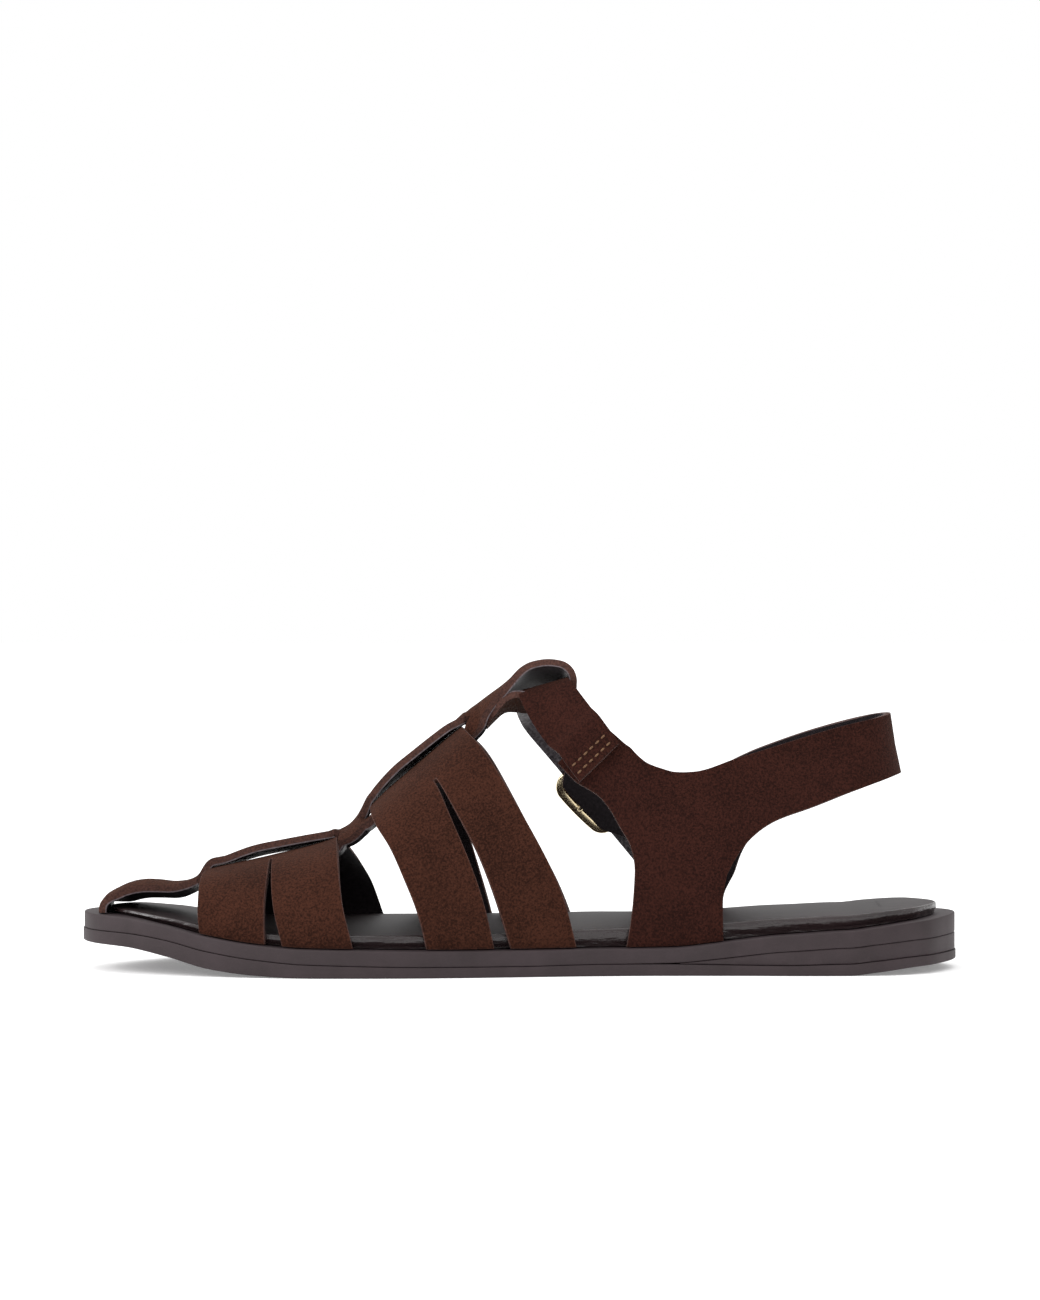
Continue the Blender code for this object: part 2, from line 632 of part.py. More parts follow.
# Rungs of the quarters in side view, from the end of the strap tab round the foot of
# the quarter and back to the heel strap: shares of LENGTH from the toe and shares of
# HEEL_STRAP_HEIGHT. A low height of 0 stands on the midsole.
MEDIAL_RUNGS = table("low_along low_height high_along high_height",
                     (0.5427, 0.931, 0.5902, 1.116),
                     (0.5639, 0.849, 0.6137, 1.035),
                     (0.5765, 0.820, 0.6196, 1.015),
                     (0.5886, 0.789, 0.6251, 1.000),
                     (0.6012, 0.732, 0.6310, 0.975),
                     (0.6137, 0.646, 0.6373, 0.952),
                     (0.6247, 0.569, 0.6435, 0.934),
                     (0.6298, 0.462, 0.6502, 0.922),
                     (0.6275, 0.308, 0.6608, 0.908),
                     (0.6204, 0.000, 0.6741, 0.894),
                     (0.6569, 0.000, 0.6843, 0.892),
                     (0.6922, 0.000, 0.6980, 0.895),
                     (0.7290, 0.000, 0.7106, 0.905),
                     (0.7286, 0.300, 0.7235, 0.922),
                     (0.7333, 0.438, 0.7392, 0.945),
                     (0.7451, 0.531, 0.7549, 0.963),
                     (0.7647, 0.623, 0.7745, 0.988),
                     (0.7914, 0.691, 0.7980, 1.014),
                     (0.8200, 0.722, 0.8255, 1.049),
                     (0.8545, 0.772, 0.8549, 1.082))
HEEL_RUNGS = table("turn low_height high_height",
                   (-1.00, 0.800, 1.102), (-0.75, 0.828, 1.118), (-0.50, 0.858, 1.132),
                   (-0.25, 0.875, 1.140), (0.00, 0.878, 1.142), (0.25, 0.872, 1.136),
                   (0.50, 0.852, 1.124), (0.75, 0.826, 1.106), (1.00, 0.794, 1.086))
LATERAL_RUNGS = table("low_along low_height high_along high_height",
                      (0.8545, 0.762, 0.8549, 1.066),
                      (0.8200, 0.708, 0.8255, 1.030),
                      (0.7960, 0.655, 0.7980, 0.990),
                      (0.7780, 0.590, 0.7745, 0.956),
                      (0.7600, 0.500, 0.7549, 0.920),
                      (0.7530, 0.400, 0.7392, 0.888),
                      (0.7400, 0.290, 0.7235, 0.860),
                      (0.7330, 0.000, 0.7106, 0.842),
                      (0.7000, 0.000, 0.6980, 0.832),
                      (0.6660, 0.000, 0.6863, 0.826),
                      (0.6330, 0.000, 0.6765, 0.822),
                      (0.6350, 0.300, 0.6680, 0.820),
                      (0.6330, 0.440, 0.6600, 0.820),
                      (0.6240, 0.530, 0.6530, 0.824),
                      (0.6085, 0.615, 0.6450, 0.836),
                      (0.5900, 0.705, 0.6360, 0.876),
                      (0.5706, 0.800, 0.6155, 0.960),
                      (0.5560, 0.870, 0.6002, 1.005),
                      (0.5580, 0.910, 0.5880, 1.005))
RUNG_CELLS = 4
RUNG_STEPS = 2


def side_rungs(side, rungs):
    """Rungs of one side as pairs of side view points."""
    pairs = []
    for k in range(len(rungs["low_along"])):
        low_x, high_x = float(x_of(rungs["low_along"][k])), float(x_of(rungs["high_along"][k]))
        low_z = max(HEEL_STRAP_HEIGHT * rungs["low_height"][k], float(foot_z(low_x)))
        pairs.append((low_x, low_z, high_x, HEEL_STRAP_HEIGHT * rungs["high_height"][k]))
    return pairs


def smooth_rungs(pairs, steps):
    """More rungs between the given ones."""
    pairs = np.array(pairs)
    places = np.linspace(0, len(pairs) - 1, (len(pairs) - 1) * steps + 1)
    return np.stack([curve_through(np.arange(len(pairs)), pairs[:, k], places)
                     for k in range(pairs.shape[1])], axis=1)


def build_quarters():
    """Both quarters and the heel strap, one band cut in one piece."""
    rows = []
    for low_x, low_z, high_x, high_z in smooth_rungs(side_rungs(-1, MEDIAL_RUNGS), RUNG_STEPS):
        rows.append([wall_point(-1, low_x + share * (high_x - low_x),
                                low_z + share * (high_z - low_z))
                     for share in np.linspace(0, 1, RUNG_CELLS + 1)])
    heights = list(zip(HEEL_RUNGS["turn"], HEEL_RUNGS["low_height"] * HEEL_STRAP_HEIGHT,
                       HEEL_RUNGS["high_height"] * HEEL_STRAP_HEIGHT))
    for turn, low_z, high_z in smooth_rungs(heights, RUNG_STEPS):
        rows.append([heel_point(turn, low_z + share * (high_z - low_z))
                     for share in np.linspace(0, 1, RUNG_CELLS + 1)])
    for low_x, low_z, high_x, high_z in smooth_rungs(side_rungs(1, LATERAL_RUNGS), RUNG_STEPS):
        rows.append([wall_point(1, low_x + share * (high_x - low_x),
                                low_z + share * (high_z - low_z))
                     for share in np.linspace(0, 1, RUNG_CELLS + 1)])
    outer = np.array(rows)
    normals = grid_normals(outer, outer * (0, 1, 0))
    inner = outer - LEATHER * normals
    floor = foot_z(outer[:, 0, 0])
    on_foot = outer[:, 0, 2] < floor + CLEARANCE
    outer[on_foot, 0, 2] = inner[on_foot, 0, 2] = floor[on_foot]
    present = np.ones((outer.shape[0] - 1, outer.shape[1] - 1), dtype=bool)
    return sheet("quarters", outer, inner, present)


# Ankle strap and buckle

# The buckle's middle in side view, and the way that the strap runs through it
BUCKLE_ALONG = 0.6020
BUCKLE_HEIGHT = 0.794
STRAP_RUN = np.array([0.640, -0.768])
STRAP_ACROSS = np.array([0.768, 0.640])
BAR_OUT = BAR_WIRE / 2 + BUCKLE_LIFT
FRAME_OUT = CLEARANCE + LEATHER + BUCKLE_LIFT + BUCKLE_WIRE / 2
TAB_OVER = BAR_OUT + BAR_WIRE / 2 + CLEARANCE + TAB_LEATHER
PRONG_OVER = FRAME_OUT + BUCKLE_WIRE / 2 + CLEARANCE + PRONG_WIRE / 2

# Free part of the ankle strap, medial to lateral: its front and rear edges in side
# view and their side places, as shares of LENGTH, HEEL_STRAP_HEIGHT and BALL_WIDTH
ANKLE_RUNGS = table("front_along front_height rear_along rear_height side",
                    (0.5251, 1.031, 0.5745, 1.200, -0.243),
                    (0.5078, 1.136, 0.5608, 1.281, -0.205),
                    (0.4992, 1.212, 0.5552, 1.308, -0.172),
                    (0.4965, 1.252, 0.5522, 1.313, -0.140),
                    (0.4957, 1.234, 0.5518, 1.293, -0.085),
                    (0.4953, 1.211, 0.5516, 1.271, -0.030),
                    (0.4947, 1.182, 0.5514, 1.247, 0.035),
                    (0.4941, 1.130, 0.5502, 1.224, 0.095),
                    (0.4996, 1.078, 0.5518, 1.204, 0.155),
                    (0.5130, 1.017, 0.5615, 1.168, 0.212))
# Where the strap runs along its own line through the buckle: distance from the
# buckle's middle as a share of BUCKLE_LENGTH, and its lift off the quarter as a share
# of the lift that takes it over the tab
BUCKLE_LINE = table("run lift",
                    (-0.60, 0), (-0.37, 0), (-0.26, 0.37), (-0.13, 1.03), (0.02, 1.05),
                    (0.15, 0.93), (0.27, 0.34), (0.37, 0), (0.60, 0), (0.92, 0),
                    (1.22, 0), (1.38, 0))
HOLE_RUNG = 2
STRAP_TIP_SHARE = 0.45
ANKLE_CELLS = 7
ANKLE_STEPS = 2
# The medial end sewn over the quarter's tab: the way it runs in side view and its
# rungs as shares of SEAM_LENGTH
MEDIAL_RUN = np.array([-0.60, 0.80])
SEAM_RUNGS = (-0.13, 0.18, 0.53, 0.87)
SEAM_MIDDLE_RUNG = 1
# The prong's pin from the hook to its tip, along as a share of BUCKLE_LENGTH and out
# as a share of its height over the frame
PRONG_PIN = table("run out",
                  (-0.117, 0.44), (-0.170, 0.58), (-0.217, 0.83), (-0.278, 1.00),
                  (-0.436, 1.00), (-0.500, 0.99))
# The tab's fold, along as a share of BUCKLE_LENGTH and rising from the seam to the bar
TAB_FOLD = table("run rise",
                 (-0.244, 0), (-0.183, 0), (-0.126, 0.48), (-0.056, 1), (0, 1),
                 (0.056, 1), (0.126, 0.48), (0.183, 0), (0.244, 0))
TAB_LINES = (-1, -0.6, -0.22, 0.22, 0.6, 1)
TAB_SLOT = slice(1, 6)
FRAME_CORNER = 0.0048
FRAME_CORNER_POINTS = 6


def buckle_place(run, across, out):
    """Point near the buckle: along the strap, across it and out from the quarter."""
    x = float(x_of(BUCKLE_ALONG)) + run * STRAP_RUN[0] + across * STRAP_ACROSS[0]
    z = BUCKLE_HEIGHT * HEEL_STRAP_HEIGHT + run * STRAP_RUN[1] + across * STRAP_ACROSS[1]
    return wall_point(1, x, z, out)


def medial_end(run):
    """A rung of the strap's medial end, sewn on over the quarter's tab."""
    k = SEAM_MIDDLE_RUNG
    low = np.array([x_of(MEDIAL_RUNGS["low_along"][k]),
                    HEEL_STRAP_HEIGHT * MEDIAL_RUNGS["low_height"][k]])
    high = np.array([x_of(MEDIAL_RUNGS["high_along"][k]),
                     HEEL_STRAP_HEIGHT * MEDIAL_RUNGS["high_height"][k]])
    middle = (low + high) / 2 + MEDIAL_RUN * run
    reach = high - low
    reach *= ANKLE_STRAP_WIDTH / 2 / np.linalg.norm(reach)
    return [wall_point(-1, *(middle + share * reach), LEATHER + CLEARANCE)
            for share in np.linspace(-1, 1, ANKLE_CELLS + 1)]


def free_rung(k):
    """A rung of the free part of the ankle strap."""
    y = BALL_WIDTH * ANKLE_RUNGS["side"][k]
    front = np.array([x_of(ANKLE_RUNGS["front_along"][k]), y,
                      HEEL_STRAP_HEIGHT * ANKLE_RUNGS["front_height"][k]])
    rear = np.array([x_of(ANKLE_RUNGS["rear_along"][k]), y,
                     HEEL_STRAP_HEIGHT * ANKLE_RUNGS["rear_height"][k]])
    return [front + share * (rear - front) for share in np.linspace(0, 1, ANKLE_CELLS + 1)]


def buckle_rung(k):
    """A rung of the ankle strap where it runs through the buckle."""
    run = BUCKLE_LINE["run"][k] * BUCKLE_LENGTH
    last = k == len(BUCKLE_LINE["run"]) - 1
    half = ANKLE_STRAP_WIDTH / 2 * (STRAP_TIP_SHARE if last else 1)
    out = LEATHER + CLEARANCE + BUCKLE_LINE["lift"][k] * TAB_OVER
    return [buckle_place(run, share * half, out) for share in np.linspace(-1, 1, ANKLE_CELLS + 1)]


def build_ankle_strap():
    rungs = [medial_end(share * SEAM_LENGTH) for share in SEAM_RUNGS]
    rungs += [free_rung(k) for k in range(len(ANKLE_RUNGS["side"]))]
    first_buckle_rung = len(rungs)
    rungs += [buckle_rung(k) for k in range(len(BUCKLE_LINE["run"]))]
    rungs = np.array(rungs)
    places = np.linspace(0, len(rungs) - 1, (len(rungs) - 1) * ANKLE_STEPS + 1)
    outer = np.zeros((len(places), ANKLE_CELLS + 1, 3))
    for column in range(ANKLE_CELLS + 1):
        for axis in range(3):
            outer[:, column, axis] = curve_through(np.arange(len(rungs)),
                                                   rungs[:, column, axis], places)
    normals = grid_normals(outer, outer * (0, 1, 1))
    inner = outer - LEATHER * normals
    present = np.ones((len(places) - 1, ANKLE_CELLS), dtype=bool)
    hole = ANKLE_STEPS * (first_buckle_rung + HOLE_RUNG)
    present[hole:hole + ANKLE_STEPS, ANKLE_CELLS // 2] = False
    return sheet("ankle_strap", outer, inner, present)


def build_buckle_frame():
    """Rounded frame with a bar across its middle, one casting."""
    half_length = (BUCKLE_LENGTH - BUCKLE_WIRE) / 2
    half_width = ANKLE_STRAP_WIDTH / 2 + BUCKLE_SIDE_ROOM + BUCKLE_WIRE / 2
    points = []
    for quarter, (along, across) in enumerate(((1, 1), (-1, 1), (-1, -1), (1, -1))):
        for turn in np.linspace(quarter, quarter + 1, FRAME_CORNER_POINTS) * math.pi / 2:
            points.append(buckle_place(
                along * (half_length - FRAME_CORNER) + FRAME_CORNER * math.cos(turn),
                across * (half_width - FRAME_CORNER) + FRAME_CORNER * math.sin(turn), FRAME_OUT))
        if quarter % 2 == 0:
            points.append(buckle_place(0, across * half_width, FRAME_OUT))
    frame = tube("buckle_frame", points, BUCKLE_WIRE / 2, sides=8, closed=True)
    bar_points = []
    for share in np.linspace(-1, 1, 13):
        out = BAR_OUT + (FRAME_OUT - BAR_OUT) * abs(share)**6
        bar_points.append(buckle_place(0, share * half_width, out))
    bar = tube("buckle_bar", bar_points, BAR_WIRE / 2, sides=8)
    boolean(frame, bar, "UNION")
    return frame


def build_buckle_prong():
    """Hook over the bar and a pin through the strap's hole to the frame's end."""
    hook = BAR_WIRE / 2 + CLEARANCE + PRONG_WIRE / 2
    points = [buckle_place(hook * math.cos(angle), 0, BAR_OUT + hook * math.sin(angle))
              for angle in np.radians(np.linspace(10, 142, 7))]
    points += [buckle_place(run * BUCKLE_LENGTH, 0, out * PRONG_OVER)
               for run, out in zip(PRONG_PIN["run"], PRONG_PIN["out"])]
    return tube("buckle_prong", points, PRONG_WIRE / 2, sides=8)


def build_buckle_tab():
    """Strip of leather folded over the bar, slotted for the prong, sewn to the quarter."""
    sewn = CLEARANCE + TAB_LEATHER
    outer = np.array([[buckle_place(run * BUCKLE_LENGTH, line * TAB_WIDTH / 2,
                                    sewn + rise * (TAB_OVER - sewn)) for line in TAB_LINES]
                      for run, rise in zip(TAB_FOLD["run"], TAB_FOLD["rise"])])
    normals = grid_normals(outer, outer * (0, 1, 0))
    inner = outer - TAB_LEATHER * normals
    present = np.ones((len(TAB_FOLD["run"]) - 1, len(TAB_LINES) - 1), dtype=bool)
    present[TAB_SLOT, len(TAB_LINES) // 2 - 1] = False
    return sheet("buckle_tab", outer, inner, present)


def main():
    for thing in list(bpy.data.objects):
        bpy.data.objects.remove(thing)
    rubber, suede, lining = (0.085, 0.063, 0.060), (0.060, 0.022, 0.014), (0.022, 0.016, 0.015)
    finish(build_outsole(), rubber, 0.7)
    finish(build_heel_wedge(), rubber, 0.7)
    finish(build_midsole(), rubber, 0.65)
    finish(build_insole(), lining, 0.45)
    upper = build_band("upper_straps", TOE_BAND, TOE_SLIT_ENDS)
    instep = build_band("instep_band", INSTEP_BAND, INSTEP_SLIT_ENDS)
    centre = build_centre_strap()
    boolean(upper, centre, "UNION")
    boolean(upper, build_loop_seam(), "UNION")
    boolean(upper, instep, "UNION")
    finish(upper, suede, 0.9)
    finish(build_quarters(), suede, 0.9)
    finish(build_ankle_strap(), suede, 0.9)
    gold = (0.80, 0.58, 0.30)
    finish(build_buckle_frame(), gold, 0.2, 1.0)
    finish(build_buckle_prong(), gold, 0.2, 1.0)
    finish(build_buckle_tab(), suede, 0.9)


main()
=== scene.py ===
"""Brown suede flat sandal, one right shoe, standing empty on a white studio floor."""

import math

import bmesh
import bpy
import numpy as np
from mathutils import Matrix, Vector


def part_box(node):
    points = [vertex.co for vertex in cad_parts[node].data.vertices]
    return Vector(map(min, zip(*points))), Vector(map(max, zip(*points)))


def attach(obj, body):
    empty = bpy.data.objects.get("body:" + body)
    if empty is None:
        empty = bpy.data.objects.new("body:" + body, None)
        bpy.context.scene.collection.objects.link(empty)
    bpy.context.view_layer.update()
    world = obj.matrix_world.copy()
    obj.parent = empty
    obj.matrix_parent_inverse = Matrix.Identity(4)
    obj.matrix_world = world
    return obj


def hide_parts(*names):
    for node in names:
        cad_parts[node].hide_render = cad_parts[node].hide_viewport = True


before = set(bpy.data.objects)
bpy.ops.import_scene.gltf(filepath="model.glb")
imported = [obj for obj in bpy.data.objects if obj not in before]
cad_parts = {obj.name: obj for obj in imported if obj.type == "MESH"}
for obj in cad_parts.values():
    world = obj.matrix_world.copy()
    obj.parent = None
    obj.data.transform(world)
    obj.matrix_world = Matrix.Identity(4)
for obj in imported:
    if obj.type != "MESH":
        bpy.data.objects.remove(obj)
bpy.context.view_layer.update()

# Outsole
# The thin outsole is moulded brown rubber, cemented under the midsole. Its side is
# plain and matt, its edges are slightly rounded, and it springs up under the toes.

outsole_low, outsole_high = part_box("outsole")
LENGTH = outsole_high[0] - outsole_low[0]
BALL_WIDTH = outsole_high[1] - outsole_low[1]
TOE_SPRING = 0.0084
HEEL_BEVEL = 0.0028
OUTSOLE_THICKNESS = 0.0036
MIDSOLE_THICKNESS = 0.0045
HEEL_WEDGE = 0.0048
GLUE_LINE = 0.0003
LAYER_SEAM = 0.0001
EDGE_ROUND = 0.0005
SOLE_STATIONS = 121


def table(columns, *rows):
    """A short table with named columns, each column as an array."""
    values = np.array(rows, dtype=float)
    return {name: values[:, place] for place, name in enumerate(columns.split())}


def curve_through(xs, ys, at):
    """Smooth curve through points that never swings past them."""
    at = np.asarray(at, dtype=float)
    steps = np.diff(xs)
    slopes = np.diff(ys) / steps
    tangents = np.zeros(len(ys))
    tangents[0], tangents[-1] = slopes[0], slopes[-1]
    same_way = slopes[:-1] * slopes[1:] > 0
    near, far = 2 * steps[1:] + steps[:-1], steps[1:] + 2 * steps[:-1]
    inner = np.zeros(len(slopes) - 1)
    inner[same_way] = (near + far)[same_way] / (
        near[same_way] / slopes[:-1][same_way] + far[same_way] / slopes[1:][same_way])
    tangents[1:-1] = inner
    k = np.clip(np.searchsorted(xs, at, side="right") - 1, 0, len(xs) - 2)
    t = (at - xs[k]) / steps[k]
    return ((2 * t**3 - 3 * t**2 + 1) * ys[k] + (t**3 - 2 * t**2 + t) * steps[k] * tangents[k]
            + (3 * t**2 - 2 * t**3) * ys[k + 1] + (t**3 - t**2) * steps[k] * tangents[k + 1])


OUTLINE = table("along medial lateral",
                (0.00, -0.106, -0.106), (0.02, -0.266, 0.053), (0.06, -0.351, 0.181),
                (0.12, -0.420, 0.298), (0.20, -0.473, 0.394), (0.28, -0.500, 0.457),
                (0.36, -0.498, 0.495), (0.42, -0.484, 0.500), (0.50, -0.452, 0.468),
                (0.58, -0.420, 0.410), (0.66, -0.404, 0.351), (0.74, -0.404, 0.303),
                (0.82, -0.412, 0.271), (0.90, -0.405, 0.251), (0.96, -0.333, 0.180),
                (0.985, -0.230, 0.080), (1.00, -0.080, -0.080))
LAYERS = table("along spring bevel outsole wedge midsole",
               (0.00, 1.00, 0.00, 1.06, 0.00, 1.04), (0.05, 0.94, 0.00, 1.10, 0.00, 1.00),
               (0.10, 0.67, 0.00, 1.28, 0.00, 0.89), (0.15, 0.27, 0.00, 1.36, 0.00, 0.93),
               (0.20, 0.08, 0.00, 1.25, 0.00, 0.93), (0.26, 0.00, 0.00, 1.08, 0.00, 0.95),
               (0.40, 0.00, 0.00, 0.87, 0.00, 1.00), (0.50, 0.00, 0.00, 0.86, 0.00, 1.00),
               (0.60, 0.00, 0.00, 0.95, 0.00, 0.96), (0.67, 0.00, 0.00, 0.95, 0.05, 0.96),
               (0.73, 0.00, 0.00, 0.88, 0.40, 1.00), (0.80, 0.00, 0.00, 0.83, 0.83, 1.02),
               (0.87, 0.00, 0.00, 0.94, 0.97, 1.05), (0.90, 0.00, 0.30, 0.92, 0.99, 1.08),
               (0.95, 0.00, 0.80, 0.84, 1.00, 1.16), (1.00, 0.00, 1.00, 0.78, 1.06, 1.27))


def swing(along):
    """Angle whose cosine runs from toe to heel, so that a curve over it closes round."""
    return np.arccos(1 - 2 * np.clip(along, 0, 1))


def edge_y(side, along):
    column = OUTLINE["medial"] if side < 0 else OUTLINE["lateral"]
    return BALL_WIDTH * curve_through(swing(OUTLINE["along"]), column, swing(along))


def along_of(x):
    return np.clip(np.asarray(x) / LENGTH + 0.5, 0, 1)


def x_of(along):
    return (np.asarray(along) - 0.5) * LENGTH


def layer_share(name, x):
    return curve_through(LAYERS["along"], LAYERS[name], along_of(x))


def ground_z(x):
    return TOE_SPRING * layer_share("spring", x) + HEEL_BEVEL * layer_share("bevel", x)


def outsole_top_z(x):
    return ground_z(x) + OUTSOLE_THICKNESS * layer_share("outsole", x)


def wedge_top_z(x):
    return outsole_top_z(x) + HEEL_WEDGE * layer_share("wedge", x)


def midsole_top_z(x):
    return wedge_top_z(x) + MIDSOLE_THICKNESS * layer_share("midsole", x)


def outline_ring(inset, start):
    """Plan outline as a medial and a lateral chain, moved inward by inset."""
    turn = np.linspace(0, math.pi, SOLE_STATIONS)
    along = (1 - np.cos(turn)) / 2 if start == 0 else start + (1 - start) * np.sin(turn / 2)
    chains = {side: np.stack([x_of(along), edge_y(side, along)], axis=1) for side in (-1, 1)}
    loop = np.concatenate([chains[-1], chains[1][-2::-1]])
    if start == 0:
        loop = loop[:-1]
        before, after = np.roll(loop, 1, axis=0), np.roll(loop, -1, axis=0)
    else:
        before, after = np.vstack([loop[:1], loop[:-1]]), np.vstack([loop[1:], loop[-1:]])
    tangent = after - before
    tangent /= np.linalg.norm(tangent, axis=1)[:, None]
    return loop + inset * np.stack([-tangent[:, 1], tangent[:, 0]], axis=1)


def mesh_object(name, vertices, faces, materials, slots=None, smooth_angle=45):
    """Mesh object at the origin with its outside facing out."""
    mesh = bpy.data.meshes.new(name)
    mesh.from_pydata([tuple(v) for v in vertices], [], faces)
    for material in materials:
        mesh.materials.append(material)
    if slots is not None:
        mesh.polygons.foreach_set("material_index", slots)
    shape = bmesh.new()
    shape.from_mesh(mesh)
    bmesh.ops.recalc_face_normals(shape, faces=shape.faces)
    shape.to_mesh(mesh)
    shape.free()
    mesh.shade_smooth()
    mesh.set_sharp_from_angle(angle=math.radians(smooth_angle))
    thing = bpy.data.objects.new(name, mesh)
    bpy.context.scene.collection.objects.link(thing)
    return thing


def sole_layer(name, rings, materials, start=0.0, toe_shift=None, top_from=None):
    """Closed layer from rings of (inset, height function), bottom to top.

    From the ring top_from on it has the second material.
    """
    vertices, faces = [], []
    for inset, height in rings:
        loop = outline_ring(inset, start)
        if toe_shift is not None:
            loop[:, 0] += toe_shift(loop[:, 0])
        vertices += list(np.column_stack([loop, height(loop[:, 0])]))
    count = len(loop)
    slots = []
    for ring in range(len(rings) - 1):
        slots += [0 if top_from is None or ring < top_from else 1] * count
        for k in range(count):
            after = (k + 1) % count
            first = ring * count
            faces.append((first + k, first + after, first + count + after, first + count + k))
    for first in (0, (len(rings) - 1) * count):
        for k in range(SOLE_STATIONS - 1):
            left, right = k, (count - k) % count if start == 0 else count - 1 - k
            corners = [first + left, first + left + 1, first + right - 1, first + right]
            if start == 0 and k == 0:
                corners[2] = first + count - 1
            faces.append(tuple(dict.fromkeys(corners)))
            slots.append(0 if top_from is None or first == 0 else 1)
    return mesh_object(name, vertices, faces, materials, slots)


def rounded_rings(inset, low, high, top_round=EDGE_ROUND, low_round=EDGE_ROUND / 2, steps=5):
    """Rings of a slab whose upper and lower edges are quarter rounds."""
    turns = np.linspace(0, math.pi / 2, steps)
    rings = [(inset + low_round * (1 - math.sin(t)),
              lambda x, t=t: low(x) + low_round * (1 - math.cos(t))) for t in turns]
    rings += [(inset + top_round * (1 - math.cos(t)),
               lambda x, t=t: high(x) - top_round * (1 - math.sin(t))) for t in turns]
    return rings


def linear(code):
    """An sRGB hex colour as the linear values that a shader takes."""
    parts = [int(code[k:k + 2], 16) / 255 for k in (0, 2, 4)]
    return tuple(p / 12.92 if p <= 0.04045 else ((p + 0.055) / 1.055)**2.4 for p in parts) + (1,)


def add(tree, kind, inputs=None, **settings):
    """A node with its settings, its inputs set to values or linked from sockets."""
    made = tree.nodes.new(kind)
    for name, value in settings.items():
        setattr(made, name, value)
    for socket, value in (inputs or {}).items():
        if isinstance(value, bpy.types.NodeSocket):
            tree.links.new(value, made.inputs[socket])
        else:
            made.inputs[socket].default_value = value
    return made


def new_material(name):
    """A material with only its Principled shader, and its tree."""
    material = bpy.data.materials.new(name)
    material.use_nodes = True
    return material, material.node_tree, material.node_tree.nodes["Principled BSDF"]


# Moulded rubber, matt with a fine moulding texture and a faint dusty bloom. The
# texture's grain is drawn coarser than the mould's, so that it shows at all.
RUBBER_GRAIN = 0.0005
RUBBER_BLOOM = 0.012
FINE_RELIEF = 0.0002
rubber, tree, shader = new_material("moulded_brown_rubber")
place = add(tree, "ShaderNodeTexCoord").outputs["Object"]
bloom = add(tree, "ShaderNodeTexNoise", {"Vector": place, "Scale": 1 / RUBBER_BLOOM,
                                         "Detail": 4.0, "Roughness": 0.6})
grain = add(tree, "ShaderNodeTexNoise", {"Vector": place, "Scale": 1 / RUBBER_GRAIN,
                                         "Detail": 2.0})
shade = add(tree, "ShaderNodeValToRGB", {"Fac": bloom.outputs["Fac"]})
low, high = shade.color_ramp.elements
low.position, low.color = 0.3, linear("281E20")
high.position, high.color = 0.7, linear("33282B")
tree.links.new(shade.outputs["Color"], shader.inputs["Base Color"])
bump = add(tree, "ShaderNodeBump", {"Height": grain.outputs["Fac"], "Strength": 0.25,
                                    "Distance": FINE_RELIEF})
tree.links.new(bump.outputs["Normal"], shader.inputs["Normal"])
shader.inputs["Roughness"].default_value = 0.62
shader.inputs["Specular IOR Level"].default_value = 0.35

outsole = sole_layer("outsole_visual", rounded_rings(
    0.0, ground_z, lambda x: outsole_top_z(x) - LAYER_SEAM,
    top_round=EDGE_ROUND / 2, low_round=EDGE_ROUND), [rubber])
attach(outsole, "root")
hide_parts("outsole")

# Heel wedge
# A thin wedge of the same rubber lifts the heel. It runs out to nothing under the
# arch and is cemented between outsole and midsole.

WEDGE_START = 0.68
LAYER_SETBACK = 0.0003


def wedge_round(x):
    """Edge rounding that fades where the wedge runs out."""
    room = np.maximum(wedge_top_z(x) - LAYER_SEAM - outsole_top_z(x), 0)
    return np.minimum(EDGE_ROUND / 2, room / 3)


heel_wedge = sole_layer("heel_wedge_visual", [
    (LAYER_SETBACK + EDGE_ROUND / 2, outsole_top_z),
    (LAYER_SETBACK, lambda x: outsole_top_z(x) + wedge_round(x)),
    (LAYER_SETBACK, lambda x: wedge_top_z(x) - LAYER_SEAM - wedge_round(x)),
    (LAYER_SETBACK + EDGE_ROUND / 2, lambda x: wedge_top_z(x) - LAYER_SEAM)],
    [rubber], start=WEDGE_START)
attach(heel_wedge, "root")
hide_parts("heel_wedge")

# Midsole
# The midsole is a board of the same brown rubber, trimmed flush with the outsole. The
# straps go into it, so its upper face stays flat around the insole.

midsole = sole_layer("midsole_visual", rounded_rings(
    LAYER_SETBACK, wedge_top_z, midsole_top_z), [rubber])
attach(midsole, "root")
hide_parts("midsole")

# Insole
# The insole is smooth dark leather drawn over a soft foam pad, tucked under at its
# edge. It is full under the arch and thins out to the toe.

INSOLE_THICKNESS = 0.0050
LEATHER = 0.0020
STRAP_SETBACK = 0.0032
PADDING = table("along height",
                (0.00, 0.30), (0.06, 0.34), (0.12, 0.44), (0.20, 0.60), (0.30, 0.76),
                (0.40, 0.82), (0.50, 0.90), (0.60, 1.08), (0.67, 1.12), (0.73, 1.02),
                (0.80, 0.90), (0.90, 0.80), (1.00, 0.62))
PAD_ROLL = 0.0005
PAD_CROWN = 0.0002
PAD_TUCK = 0.0006
TUCKED_SHARES = (0, 0.14, 0.3, 0.5)
FULL_SHARES = (0.75, 1)
PAD_FULLNESS = 0.8
ROLL_START = 0.2
ROLL_RINGS = 6
TOP_INSETS = (0.0022, 0.0045, 0.0070, 0.0097, 0.0125)
CROWN_TURN = 1.5
TOP_RING = len(TUCKED_SHARES) + len(FULL_SHARES) + ROLL_RINGS - 1
TOE_STRAP_ALONG = 0.0214
TOE_STRAP_BACK = TOE_STRAP_ALONG * LENGTH + LEATHER + 2 * GLUE_LINE
INSOLE_INSET = STRAP_SETBACK + LEATHER + 2 * GLUE_LINE
TOE_SHIFT_REACH = 0.2


